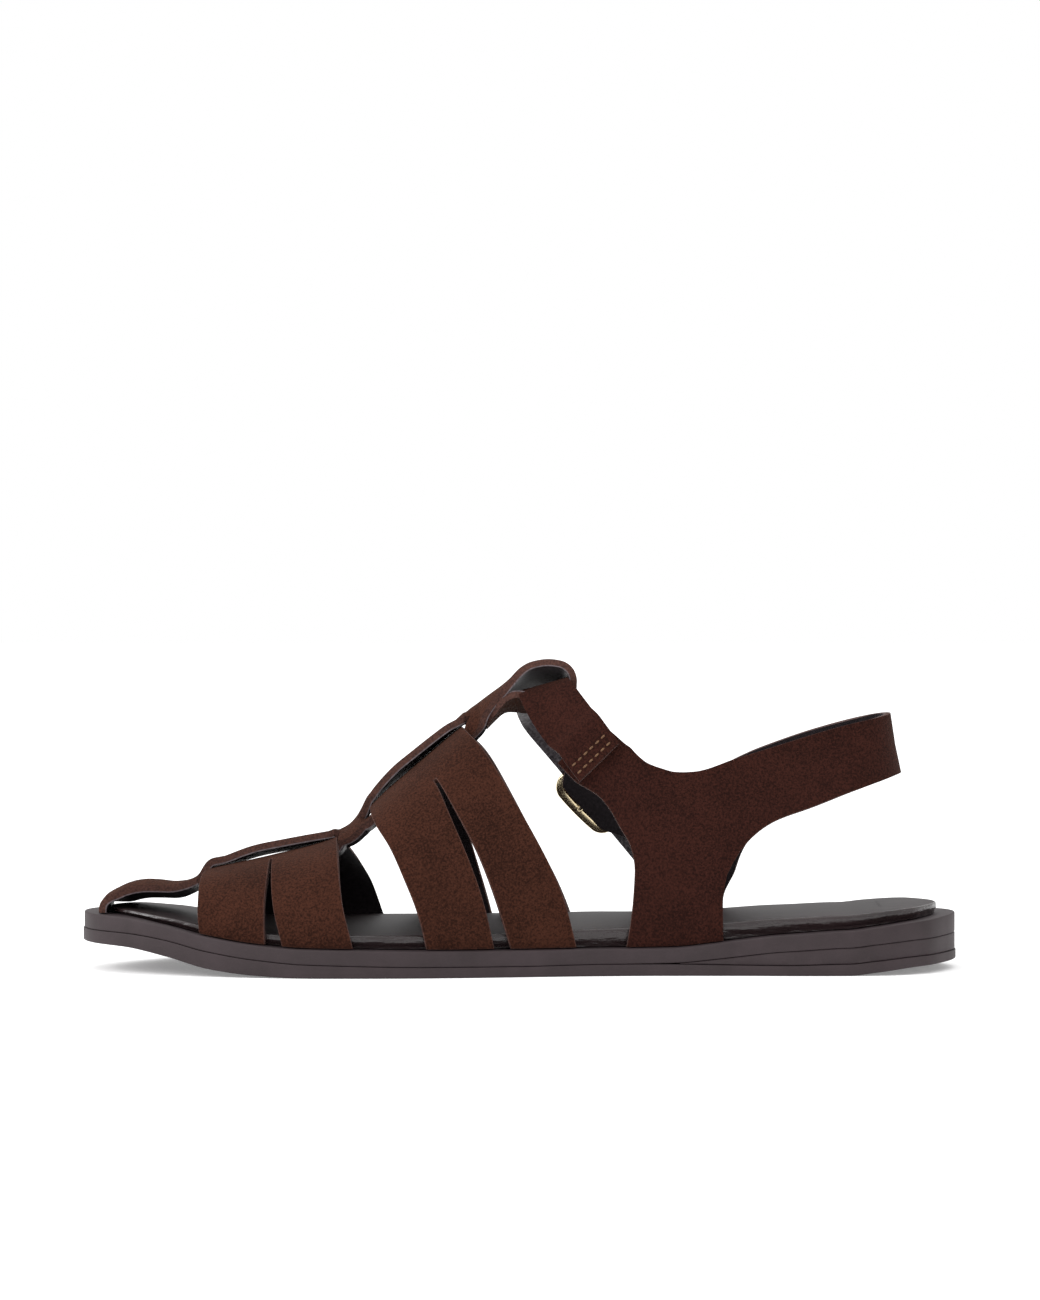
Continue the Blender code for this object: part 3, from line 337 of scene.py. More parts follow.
def foot_z(x):
    return midsole_top_z(x) + GLUE_LINE


def insole_edge_z(x):
    return midsole_top_z(x) + INSOLE_THICKNESS * curve_through(
        PADDING["along"], PADDING["height"], along_of(x))


def insole_toe_shift(x):
    """How far the pad's toe is drawn back, to end behind the centre strap's foot."""
    share = np.minimum(along_of(x) / TOE_SHIFT_REACH, 1)
    return (TOE_STRAP_BACK - INSOLE_INSET) * (1 - share)**2


def pad_side_z(x, share):
    """Height up the pad's side, which ends where the roll begins."""
    return foot_z(x) + share * (insole_edge_z(x) - foot_z(x) - PAD_ROLL)


def insole_rings():
    """Rings of the pad: tucked foot, full side, rolled edge and a low crown."""
    rings = [(INSOLE_INSET + PAD_TUCK * math.cos(math.pi * share),
              lambda x, s=share: pad_side_z(x, s)) for share in TUCKED_SHARES]
    rings += [(INSOLE_INSET + PAD_TUCK * (share - 1) * PAD_FULLNESS,
               lambda x, s=share: pad_side_z(x, s)) for share in FULL_SHARES]
    rings += [(INSOLE_INSET + PAD_ROLL * (1 - math.cos(turn)),
               lambda x, t=turn: insole_edge_z(x) - PAD_ROLL * (1 - math.sin(t)))
              for turn in np.linspace(ROLL_START, math.pi / 2, ROLL_RINGS)]
    rings += [(INSOLE_INSET + PAD_ROLL + inward,
               lambda x, w=inward: insole_edge_z(x)
               + PAD_CROWN * math.sin(w / TOP_INSETS[-1] * CROWN_TURN))
              for inward in TOP_INSETS]
    return rings


LEATHER_MOTTLE = 0.018
LEATHER_PORES = 0.0009
PAD_CREASES = 0.0035
CREASE_SQUEEZE = (0.35, 1.0, 1.6)


def pad_leather(name, dark, light, roughness, shine, crease_depth):
    """Dark leather: fine pores, faint mottling and soft creases along the pad's edge."""
    material, tree, shader = new_material(name)
    place = add(tree, "ShaderNodeTexCoord").outputs["Object"]
    mottle = add(tree, "ShaderNodeTexNoise", {"Vector": place, "Scale": 1 / LEATHER_MOTTLE,
                                              "Detail": 4.0})
    shade = add(tree, "ShaderNodeValToRGB", {"Fac": mottle.outputs["Fac"]})
    low, high = shade.color_ramp.elements
    low.position, low.color = 0.3, linear(dark)
    high.position, high.color = 0.7, linear(light)
    tree.links.new(shade.outputs["Color"], shader.inputs["Base Color"])
    pores = add(tree, "ShaderNodeTexVoronoi", {"Vector": place, "Scale": 1 / LEATHER_PORES},
                feature="DISTANCE_TO_EDGE")
    along_edge = add(tree, "ShaderNodeMapping", {"Vector": place, "Scale": CREASE_SQUEEZE})
    creases = add(tree, "ShaderNodeTexNoise", {"Vector": along_edge.outputs["Vector"],
                                               "Scale": 1 / PAD_CREASES, "Detail": 3.0})
    grain = add(tree, "ShaderNodeBump", {"Height": pores.outputs["Distance"], "Strength": 0.25,
                                         "Distance": FINE_RELIEF})
    bump = add(tree, "ShaderNodeBump", {"Height": creases.outputs["Fac"], "Strength": 0.6,
                                        "Distance": crease_depth,
                                        "Normal": grain.outputs["Normal"]})
    tree.links.new(bump.outputs["Normal"], shader.inputs["Normal"])
    shader.inputs["Roughness"].default_value = roughness
    shader.inputs["Specular IOR Level"].default_value = shine
    return material


# The drawn-over side shines where it rolls, and the trodden top is a little duller
side_leather = pad_leather("glossy_dark_side_leather", "1C1213", "281B1C",
                           roughness=0.27, shine=0.6, crease_depth=0.0008)
top_leather = pad_leather("satin_dark_top_leather", "1F1718", "2A2122",
                          roughness=0.55, shine=0.25, crease_depth=FINE_RELIEF)

insole = sole_layer("insole_visual", insole_rings(), [side_leather, top_leather],
                    toe_shift=insole_toe_shift, top_from=TOP_RING)
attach(insole, "root")
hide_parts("insole")

# Toe band and instep band
# Two wide bands of brown suede with a thin dark lining, cut with raw edges. Each is
# slit from its feet nearly up to the ridge, and its feet are drawn in beside the insole.

INSTEP_HEIGHT = 0.0750
SLIT_WIDTH = 0.0050
RIDGE = table("along height side",
              (0.10, 0.350, -0.150), (0.141, 0.386, -0.150), (0.215, 0.441, -0.140),
              (0.290, 0.512, -0.128), (0.312, 0.555, -0.120), (0.324, 0.612, -0.117),
              (0.344, 0.684, -0.106), (0.363, 0.741, -0.096), (0.394, 0.832, -0.085),
              (0.431, 0.938, -0.074), (0.453, 0.992, -0.064), (0.500, 1.093, -0.053),
              (0.563, 1.213, -0.043), (0.620, 1.307, -0.043))
LAST_SQUARENESS = {-1: 2.3, 1: 1.9}
TOE_BAND = table("turn front slit opening rear",
                 (-1.00, 0.1392, 0.2235, 1.00, 0.3129),
                 (-0.80, 0.1369, 0.2184, 0.60, 0.3016),
                 (-0.60, 0.1369, 0.2168, 0.36, 0.2969),
                 (-0.30, 0.1376, 0.2168, 0.16, 0.2929),
                 (0.00, 0.1412, 0.2170, 0.12, 0.2906),
                 (0.30, 0.1431, 0.2190, 0.16, 0.2969),
                 (0.60, 0.1471, 0.2270, 0.36, 0.3133),
                 (0.80, 0.1530, 0.2360, 0.60, 0.3270),
                 (1.00, 0.1608, 0.2471, 1.00, 0.3416))
INSTEP_BAND = table("turn front slit opening rear",
                    (-1.00, 0.3953, 0.4806, 0.94, 0.5639),
                    (-0.90, 0.3863, 0.4667, 0.66, 0.5490),
                    (-0.80, 0.3733, 0.4524, 0.62, 0.5255),
                    (-0.60, 0.3541, 0.4247, 0.34, 0.4870),
                    (-0.40, 0.3373, 0.4059, 0.14, 0.4600),
                    (-0.20, 0.3298, 0.3900, 0.12, 0.4400),
                    (0.00, 0.3282, 0.3810, 0.12, 0.4318),
                    (0.20, 0.3298, 0.3900, 0.12, 0.4380),
                    (0.40, 0.3365, 0.4120, 0.14, 0.4610),
                    (0.60, 0.3510, 0.4340, 0.34, 0.4890),
                    (0.80, 0.3700, 0.4560, 0.62, 0.5270),
                    (0.90, 0.3830, 0.4680, 0.66, 0.5510),
                    (1.00, 0.3930, 0.4800, 0.94, 0.5660))
TOE_SLIT_ENDS = (-0.15, 0.22)
INSTEP_SLIT_ENDS = (-0.37, 0.37)
BAND_ROWS = 97
BAND_COLUMNS = 13
BAND_PASSES = 14
CUT_EDGE_ROUND = 0.00025
SUEDE_SHARE = 0.84
WIDEST_REACH = 0.99


def strap_foot_y(side, x):
    return edge_y(side, along_of(x)) - side * STRAP_SETBACK


def ridge_point(x):
    along = along_of(x)
    return (BALL_WIDTH * curve_through(RIDGE["along"], RIDGE["side"], along),
            INSTEP_HEIGHT * curve_through(RIDGE["along"], RIDGE["height"], along))


def last_point(x, turn):
    """Outer face of the bands: turn -1 medial foot, 0 ridge, 1 lateral foot."""
    side = -1 if turn <= 0 else 1
    ridge_y, ridge_z = ridge_point(x)
    power = 2 / LAST_SQUARENESS[side]
    angle = turn * math.pi / 2
    reach = strap_foot_y(side, x) - ridge_y
    base = foot_z(x)
    return np.array([x, ridge_y + reach * abs(math.sin(angle))**power,
                     base + (ridge_z - base) * abs(math.cos(angle))**power])


def last_z(x, y):
    """Height of the same face over a plan point near the ridge."""
    ridge_y, ridge_z = ridge_point(x)
    side = -1 if y <= ridge_y else 1
    power = LAST_SQUARENESS[side]
    reach = abs((y - ridge_y) / (strap_foot_y(side, x) - ridge_y))
    base = foot_z(x)
    return base + (ridge_z - base) * (1 - min(reach, WIDEST_REACH)**power)**(1 / power)


def grid_normals(grid, outward, across=None):
    """Unit normals of a grid of points, on the side that the outward points lie on."""
    if across is None:
        across = np.gradient(grid, axis=1)
    normals = np.cross(np.gradient(grid, axis=0), across)
    normals /= np.linalg.norm(normals, axis=2)[:, :, None] + 1e-12
    return -normals if np.sum(normals * outward) < 0 else normals


def settled(grid, passes):
    """The grid with its rows eased along the leather, its two ends kept."""
    eased = grid.copy()
    for _ in range(passes):
        eased[1:-1] = (eased[:-2] + 2 * eased[1:-1] + eased[2:]) / 4
    return eased


def leather_sheet(name, outer, inner, present, materials):
    """Cut leather: a face, a lining and raw edges between two grids of points.

    The raw edge is lighter suede, partly a painted rim highlight; by the lining, a painted
    highlight.
    """
    rows, columns = outer.shape[:2]
    number, vertices, faces, slots = {}, [], [], []
    layers = (outer, inner, outer + SUEDE_SHARE * (inner - outer))

    def vertex(row, column, layer):
        key = (row, column, layer)
        if key not in number:
            number[key] = len(vertices)
            vertices.append(layers[layer][row, column])
        return number[key]

    def is_there(row, column):
        return 0 <= row < rows - 1 and 0 <= column < columns - 1 and present[row, column]

    for row, column in zip(*np.nonzero(present)):
        corners = [(row, column), (row + 1, column), (row + 1, column + 1), (row, column + 1)]
        faces.append(tuple(vertex(*corner, 0) for corner in corners))
        faces.append(tuple(vertex(*corner, 1) for corner in reversed(corners)))
        slots += [0, 1]
        sides = [(row, column - 1), (row + 1, column), (row, column + 1), (row - 1, column)]
        for k, beside in enumerate(sides):
            if not is_there(*beside):
                a, b = corners[k], corners[(k + 1) % 4]
                faces.append((vertex(*b, 0), vertex(*a, 0), vertex(*a, 2), vertex(*b, 2)))
                faces.append((vertex(*b, 2), vertex(*a, 2), vertex(*a, 1), vertex(*b, 1)))
                slots += [2, 3]
    thing = mesh_object(name, vertices, faces, materials, slots)
    rounding = thing.modifiers.new("rounded_cut_edge", "BEVEL")
    rounding.width = CUT_EDGE_ROUND
    rounding.segments = 3
    # The rounded rims take the raw edge's lighter colour, a painted rim highlight
    rounding.material = 2
    rounding.limit_method = "ANGLE"
    rounding.angle_limit = math.radians(50)
    return thing


# Suede: leather with a raised nap. The nap lies in soft cloudy patches, and its short
# fibres break the light into a fine speckle, drawn coarser than real fibres so that it
# shows.
NAP_GRAIN = 0.0006
NAP_CLOUD = 0.014
CLOUD_SHARE = 0.2
NAP_RELIEF = 0.0005


def suede_material(name, dark, light):
    """Brown suede in a dark and a light state of its nap."""
    material, tree, shader = new_material(name)
    place = add(tree, "ShaderNodeTexCoord").outputs["Object"]
    brushed = add(tree, "ShaderNodeTexNoise", {"Vector": place, "Scale": 1 / NAP_CLOUD,
                                               "Detail": 4.0, "Roughness": 0.5})
    fibres = add(tree, "ShaderNodeTexNoise", {"Vector": place, "Scale": 1 / NAP_GRAIN,
                                              "Detail": 3.0, "Roughness": 0.75})
    clouds = add(tree, "ShaderNodeMath", {0: brushed.outputs["Fac"], 1: CLOUD_SHARE},
                 operation="MULTIPLY")
    nap = add(tree, "ShaderNodeMath", {0: fibres.outputs["Fac"], 1: 1 - CLOUD_SHARE,
                                       2: clouds.outputs["Value"]}, operation="MULTIPLY_ADD")
    shade = add(tree, "ShaderNodeValToRGB", {"Fac": nap.outputs["Value"]})
    low, high = shade.color_ramp.elements
    low.position, low.color = 0.41, linear(dark)
    high.position, high.color = 0.59, linear(light)
    tree.links.new(shade.outputs["Color"], shader.inputs["Base Color"])
    bump = add(tree, "ShaderNodeBump", {"Height": fibres.outputs["Fac"], "Strength": 0.5,
                                        "Distance": NAP_RELIEF})
    tree.links.new(bump.outputs["Normal"], shader.inputs["Normal"])
    shader.inputs["Roughness"].default_value = 0.95
    shader.inputs["Specular IOR Level"].default_value = 0.08
    shader.inputs["Sheen Weight"].default_value = 0.06
    shader.inputs["Sheen Roughness"].default_value = 0.5
    shader.inputs["Sheen Tint"].default_value = linear("B08A78")
    return material


def plain_leather(name, dark, light, roughness, grain, shine=0.3):
    """Leather with mottled colour and fine grain, for linings and cut edges."""
    material, tree, shader = new_material(name)
    place = add(tree, "ShaderNodeTexCoord").outputs["Object"]
    mottle = add(tree, "ShaderNodeTexNoise", {"Vector": place, "Scale": 1 / grain,
                                              "Detail": 3.0, "Roughness": 0.6})
    shade = add(tree, "ShaderNodeValToRGB", {"Fac": mottle.outputs["Fac"]})
    low, high = shade.color_ramp.elements
    low.position, low.color = 0.35, linear(dark)
    high.position, high.color = 0.65, linear(light)
    tree.links.new(shade.outputs["Color"], shader.inputs["Base Color"])
    bump = add(tree, "ShaderNodeBump", {"Height": mottle.outputs["Fac"], "Strength": 0.3,
                                        "Distance": FINE_RELIEF})
    tree.links.new(bump.outputs["Normal"], shader.inputs["Normal"])
    shader.inputs["Roughness"].default_value = roughness
    shader.inputs["Specular IOR Level"].default_value = shine
    return material


# The bands' nap is brushed up and a shade lighter. Their lining is dark and smooth with
# a fine grain, the raw edge is fuzzy and lighter, partly as a painted rim highlight, and
# the lining's edge is a pale thin line of painted highlight.
band_suede = suede_material("brushed_brown_suede", "23110B", "40241A")
lining = plain_leather("dark_lining_leather", "191416", "262023",
                       roughness=0.45, grain=0.0010, shine=0.15)
cut_edge_and_rim_highlight = plain_leather("raw_cut_edge_and_painted_rim_highlight", "321E19", "50332B", roughness=0.9, grain=0.0006)
painted_highlight_lining_edge = plain_leather("lining_edge_pale_painted_highlight", "453B3D", "63575A", roughness=0.6,
                            grain=0.0008)
suede_layers = [band_suede, lining, cut_edge_and_rim_highlight, painted_highlight_lining_edge]


def band(name, edges, slit_ends):
    """A band from foot to foot over the last, with a slit up from each foot."""
    turns = np.linspace(-1, 1, BAND_ROWS)
    outer = np.zeros((BAND_ROWS, 2 * BAND_COLUMNS, 3))
    for row, turn in enumerate(turns):
        front, slit, opening, rear = (
            float(curve_through(edges["turn"], edges[column], turn))
            for column in ("front", "slit", "opening", "rear"))
        half_slit = opening * SLIT_WIDTH / 2
        before, after = x_of(slit) - half_slit, x_of(slit) + half_slit
        lines = np.concatenate([np.linspace(x_of(front), before, BAND_COLUMNS),
                                np.linspace(after, x_of(rear), BAND_COLUMNS)])
        for column, x in enumerate(lines):
            outer[row, column] = last_point(float(x), turn)
    outer = settled(outer, BAND_PASSES)
    normals = grid_normals(outer, outer * (0, 1, 1))
    inner = outer - LEATHER * normals
    inner[[0, -1], :, 2] = outer[[0, -1], :, 2]
    present = np.ones((BAND_ROWS - 1, 2 * BAND_COLUMNS - 1), dtype=bool)
    middles = (turns[:-1] + turns[1:]) / 2
    present[:, BAND_COLUMNS - 1] = (slit_ends[0] < middles) & (middles < slit_ends[1])
    thing = leather_sheet(name, outer, inner, present, suede_layers)
    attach(thing, "root")
    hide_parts("upper_straps")


band("toe_band", TOE_BAND, TOE_SLIT_ENDS)
band("instep_band", INSTEP_BAND, INSTEP_SLIT_ENDS)

# Centre strap
# A strap of the same lined suede, woven over and under both bands. Its middle runs
# over them and its margins under, and its narrow end is looped round the ankle strap.

CENTRE_STRAP_WIDTH = 0.0270
WEAVE_GAP = 0.0006
CENTRE_ROUTE = table("along height side half lean crown dip",
                     (0.0218, 0.2240, -0.106, 0.50, 0, 0, 0),
                     (0.0219, 0.2420, -0.106, 0.50, 0, 0, 0),
                     (0.0232, 0.2627, -0.106, 0.50, 1, 0.010, 0),
                     (0.0275, 0.2867, -0.104, 0.50, 2, 0.030, 0),
                     (0.0338, 0.3010, -0.101, 0.50, 4, 0.050, 0),
                     (0.0421, 0.3145, -0.098, 0.50, 6, 0.075, 0),
                     (0.0522, 0.3290, -0.095, 0.50, 8, 0.095, 0),
                     (0.0640, 0.3400, -0.092, 0.50, 8, 0.100, 0),
                     (0.0750, 0.3435, -0.090, 0.50, 8, 0.100, 0),
                     (0.0874, 0.3415, -0.088, 0.50, 8, 0.095, 0),
                     (0.1060, 0.3345, -0.085, 0.50, 8, 0.075, 0),
                     (0.1200, 0.3390, -0.083, 0.50, 7, 0.045, 0),
                     (0.1310, 0.3530, -0.082, 0.50, 6, 0.020, 0.10),
                     (0.1388, 0.3750, -0.081, 0.50, 6, 0, 0.75),
                     (0.1492, 0.4000, -0.079, 0.50, 7, 0, 1),
                     (0.1680, 0.4305, -0.076, 0.50, 9, 0, 1),
                     (0.1971, 0.4665, -0.074, 0.50, 9, 0, 1),
                     (0.2261, 0.4860, -0.072, 0.50, 9, 0, 1),
                     (0.2525, 0.5030, -0.070, 0.50, 9, 0, 1),
                     (0.2780, 0.5180, -0.067, 0.50, 9, 0, 1),
                     (0.2860, 0.5240, -0.066, 0.50, 8, 0.020, 1),
                     (0.2915, 0.5330, -0.065, 0.50, 6, 0.110, 0.5),
                     (0.2950, 0.5390, -0.064, 0.50, 5, 0.140, 0),
                     (0.3040, 0.5560, -0.064, 0.50, 5, 0.160, 0),
                     (0.3130, 0.5900, -0.064, 0.50, 5, 0.190, 0),
                     (0.3170, 0.6130, -0.064, 0.50, 6, 0.200, 0.2),
                     (0.3210, 0.6360, -0.063, 0.50, 7, 0.160, 0.7),
                     (0.3260, 0.6600, -0.063, 0.50, 8, 0.080, 1),
                     (0.3342, 0.6960, -0.062, 0.50, 8, 0, 1),
                     (0.3550, 0.7680, -0.060, 0.50, 11, 0, 1),
                     (0.3730, 0.8160, -0.060, 0.50, 12, 0, 1),
                     (0.3910, 0.8660, -0.059, 0.47, 12, 0, 1),
                     (0.4130, 0.9240, -0.058, 0.45, 12, 0, 1),
                     (0.4270, 0.9580, -0.057, 0.42, 8, 0.020, 1),
                     (0.4340, 0.9780, -0.057, 0.41, 7, 0.100, 1),
                     (0.4390, 0.9960, -0.056, 0.40, 6, 0.250, 0.3),
                     (0.4430, 1.0080, -0.056, 0.395, 5, 0.330, 0),
                     (0.4517, 1.0290, -0.055, 0.38, 5, 0.290, 0),
                     (0.4560, 1.0400, -0.054, 0.37, 5, 0.200, 0),
                     (0.4655, 1.0640, -0.053, 0.35, 7, 0.130, 0),
                     (0.4760, 1.0880, -0.053, 0.345, 10, 0.100, 0),
                     (0.4869, 1.1130, -0.053, 0.34, 14, 0.060, 0),
                     (0.4992, 1.1370, -0.053, 0.34, 18, 0.020, 0),
                     (0.5133, 1.1520, -0.053, 0.34, 20, 0, 0),
                     (0.5318, 1.1600, -0.053, 0.34, 21, 0, 0),
                     (0.5502, 1.1530, -0.053, 0.34, 20, 0, 0),
                     (0.5627, 1.1180, -0.053, 0.34, 18, 0, 0),
                     (0.5655, 1.0760, -0.053, 0.34, 17, 0, 0),
                     (0.5565, 1.0400, -0.053, 0.34, 16, 0, 0),
                     (0.5318, 1.0240, -0.053, 0.34, 16, 0, 0),
                     (0.5078, 1.0150, -0.053, 0.34, 16, 0, 0),
                     (0.4960, 1.0200, -0.053, 0.34, 16, 0, 0),
                     (0.4843, 1.0120, -0.053, 0.34, 12, 0, 0),
                     (0.4718, 0.9700, -0.053, 0.32, 8, 0, 0),
                     (0.4620, 0.9320, -0.053, 0.26, 7, 0, 0))
CENTRE_LEATHER = 0.0022
ROUTE_STEPS = 8
MARGIN_SHARE = 0.53
SLOT_SHARE = 0.04
MARGIN_SLOPE = 0.9
MIDDLE_SLOPE = 0.6
MIDDLE_LATENESS = 3
MARGIN_LINES = 7
MIDDLE_LINES = 15
SPLIT_DIP = 0.03
SETTLING_PASSES = 7
SETTLED_FROM = 11


def centre_strap():
    """The woven strap: where the route dips, its margins go under a band.

    Its middle is lifted over the band there, later and more suddenly than the margins.
    """
    count = len(CENTRE_ROUTE["along"])
    places = np.linspace(0, count - 1, (count - 1) * ROUTE_STEPS + 1)
    route = {name: curve_through(np.arange(count), column, places)
             for name, column in CENTRE_ROUTE.items()}
    centre = np.stack([x_of(route["along"]), BALL_WIDTH * route["side"],
                       INSTEP_HEIGHT * route["height"]], axis=1)
    lean = np.radians(route["lean"])
    across = np.stack([np.zeros(len(lean)), np.cos(lean), -np.sin(lean)], axis=1)
    margin = np.linspace(MARGIN_SHARE + SLOT_SHARE, 1, MARGIN_LINES)
    middle = np.linspace(-MARGIN_SHARE, MARGIN_SHARE, MIDDLE_LINES)
    shares = np.concatenate([-margin[::-1], middle, margin])
    middle_end = MARGIN_LINES + MIDDLE_LINES
    parts = (slice(0, MARGIN_LINES), slice(MARGIN_LINES, middle_end),
             slice(middle_end, middle_end + MARGIN_LINES))
    rows = len(centre)
    outer = np.zeros((rows, len(shares), 3))
    for column, share in enumerate(shares):
        outer[:, column] = centre + (share * CENTRE_STRAP_WIDTH * route["half"])[:, None] * across
        outer[:, column, 2] -= route["crown"] * CENTRE_STRAP_WIDTH * share**2
    up = np.tile([0, 0, 1.0], (rows, len(shares), 1))
    normals = grid_normals(outer, up)
    for row in np.flatnonzero(route["dip"] > 0):
        for column, share in enumerate(shares):
            x, y, z = outer[row, column]
            slope, dip = normals[row, column, 2], route["dip"][row]
            if abs(share) > MARGIN_SHARE + SLOT_SHARE / 2:
                woven = last_z(x, y) - (LEATHER + WEAVE_GAP / 2) / max(slope, MARGIN_SLOPE)
                outer[row, column, 2] = z + dip * (woven - z)
            else:
                woven = last_z(x, y) + (CENTRE_LEATHER + WEAVE_GAP / 4) / max(slope, MIDDLE_SLOPE)
                outer[row, column, 2] = z + dip**MIDDLE_LATENESS * max(woven - z, 0)
    from_row = SETTLED_FROM * ROUTE_STEPS
    outer[from_row:] = settled(outer[from_row:], SETTLING_PASSES)
    split = np.maximum(route["dip"][:-1], route["dip"][1:]) > SPLIT_DIP
    whole, apart = np.gradient(outer, axis=1), np.zeros_like(outer)
    for part in parts:
        apart[:, part] = np.gradient(outer[:, part], axis=1)
    across_way = np.where((route["dip"] > SPLIT_DIP)[:, None, None], apart, whole)
    inner = outer - CENTRE_LEATHER * grid_normals(outer, up, across_way)
    outer[0, :, 2] = [foot_z(x) for x in outer[0, :, 0]]
    inner[0, :, 2] = outer[0, :, 2]
    present = np.ones((rows - 1, len(shares) - 1), dtype=bool)
    for part in parts[:2]:
        present[:, part.stop - 1] = ~split
    return leather_sheet("centre_strap", outer, inner, present, suede_layers)


centre = centre_strap()
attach(centre, "root")
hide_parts("upper_straps")

# Quarters and heel strap
# One band of lined suede: each quarter rises from the sole beside the heel, runs
# forward to carry the ankle strap and back into the strap behind the heel.

HEEL_STRAP_HEIGHT = 0.0650
WALLS = table("along medial lateral",
              (0.48, -0.245, 0.205), (0.56, -0.270, 0.245), (0.62, -0.280, 0.250),
              (0.70, -0.280, 0.220), (0.78, -0.268, 0.160), (0.8745, -0.242, 0.085))
BACK_CENTRE_ALONG = 0.8712
BACK_RAKE = 0.11
WALL_BULGE = 0.0012
MEDIAL_RUNGS = table("low_along low_height high_along high_height",
                     (0.5427, 0.931, 0.5902, 1.116), (0.5639, 0.849, 0.6137, 1.035),
                     (0.5765, 0.820, 0.6196, 1.015), (0.5886, 0.789, 0.6251, 1.000),
                     (0.6012, 0.732, 0.6310, 0.975), (0.6137, 0.646, 0.6373, 0.952),
                     (0.6247, 0.569, 0.6435, 0.934), (0.6298, 0.462, 0.6502, 0.922),
                     (0.6275, 0.308, 0.6608, 0.908), (0.6204, 0.000, 0.6741, 0.894),
                     (0.6569, 0.000, 0.6843, 0.892), (0.6922, 0.000, 0.6980, 0.895),
                     (0.7290, 0.000, 0.7106, 0.905), (0.7286, 0.300, 0.7235, 0.922),
                     (0.7333, 0.438, 0.7392, 0.945), (0.7451, 0.531, 0.7549, 0.963),
                     (0.7647, 0.623, 0.7745, 0.988), (0.7914, 0.691, 0.7980, 1.014),
                     (0.8200, 0.722, 0.8255, 1.049), (0.8545, 0.772, 0.8549, 1.082))
HEEL_RUNGS = table("turn low_height high_height",
                   (-1.00, 0.800, 1.102), (-0.75, 0.828, 1.118), (-0.50, 0.858, 1.132),
                   (-0.25, 0.875, 1.140), (0.00, 0.878, 1.145), (0.25, 0.872, 1.145),
                   (0.50, 0.852, 1.138), (0.75, 0.826, 1.122), (1.00, 0.794, 1.104))
LATERAL_RUNGS = table("low_along low_height high_along high_height",
                      (0.8545, 0.762, 0.8549, 1.080), (0.8200, 0.708, 0.8255, 1.043),
                      (0.7960, 0.655, 0.7980, 1.001), (0.7780, 0.590, 0.7745, 0.966),
                      (0.7600, 0.500, 0.7549, 0.928), (0.7530, 0.400, 0.7392, 0.894),
                      (0.7400, 0.290, 0.7235, 0.860), (0.7330, 0.000, 0.7106, 0.842),
                      (0.7000, 0.000, 0.6980, 0.832), (0.6660, 0.000, 0.6863, 0.826),
                      (0.6330, 0.000, 0.6765, 0.822), (0.6370, 0.300, 0.6680, 0.820),
                      (0.6420, 0.440, 0.6600, 0.820), (0.6400, 0.510, 0.6560, 0.822),
                      (0.6230, 0.556, 0.6500, 0.828), (0.5980, 0.588, 0.6430, 0.838),
                      (0.5780, 0.668, 0.6340, 0.880), (0.5610, 0.742, 0.6230, 0.930),
                      (0.5500, 0.800, 0.6120, 0.975), (0.5530, 0.870, 0.6002, 1.005),
                      (0.5570, 0.910, 0.5850, 1.005))
RUNG_CELLS = 16
RUNG_STEPS = 5
HEEL_BEND = (14, 15)
BEND_PASSES = 16


def wall_point(side, x, z, out=0.0):
    """Outer face of a quarter at a side view place, moved outward by out."""
    share = (HEEL_STRAP_HEIGHT - z) / (HEEL_STRAP_HEIGHT - foot_z(x))
    top = BALL_WIDTH * curve_through(WALLS["along"], WALLS["medial" if side < 0 else "lateral"],
                                     along_of(x))
    foot = strap_foot_y(side, x)
    bulge = side * WALL_BULGE * math.sin(math.pi * min(max(share, 0), 1))
    return np.array([x, top + (foot - top) * share + bulge + side * out, z])


def heel_point(turn, z):
    """Outer face of the heel strap's bend: turn -1 medial, 0 back, 1 lateral."""
    x = float(x_of(BACK_CENTRE_ALONG)) - BACK_RAKE * (HEEL_STRAP_HEIGHT - z)
    medial, lateral = wall_point(-1, x, z), wall_point(1, x, z)
    middle, radius = (medial[1] + lateral[1]) / 2, (lateral[1] - medial[1]) / 2
    angle = turn * math.pi / 2
    return np.array([x + radius * math.cos(angle), middle + radius * math.sin(angle), z])


def smooth_rungs(pairs, steps):
    """More rungs between the given ones."""
    pairs = np.array(pairs)
    places = np.linspace(0, len(pairs) - 1, (len(pairs) - 1) * steps + 1)
    return np.stack([curve_through(np.arange(len(pairs)), pairs[:, k], places)
                     for k in range(pairs.shape[1])], axis=1)


def side_rungs(rungs):
    """Rungs of one quarter in metres, none of them below its foot."""
    pairs = []
    for k in range(len(rungs["low_along"])):
        low_x, high_x = float(x_of(rungs["low_along"][k])), float(x_of(rungs["high_along"][k]))
        low_z = max(HEEL_STRAP_HEIGHT * rungs["low_height"][k], float(foot_z(low_x)))
        pairs.append((low_x, low_z, high_x, HEEL_STRAP_HEIGHT * rungs["high_height"][k]))
    return smooth_rungs(pairs, RUNG_STEPS)


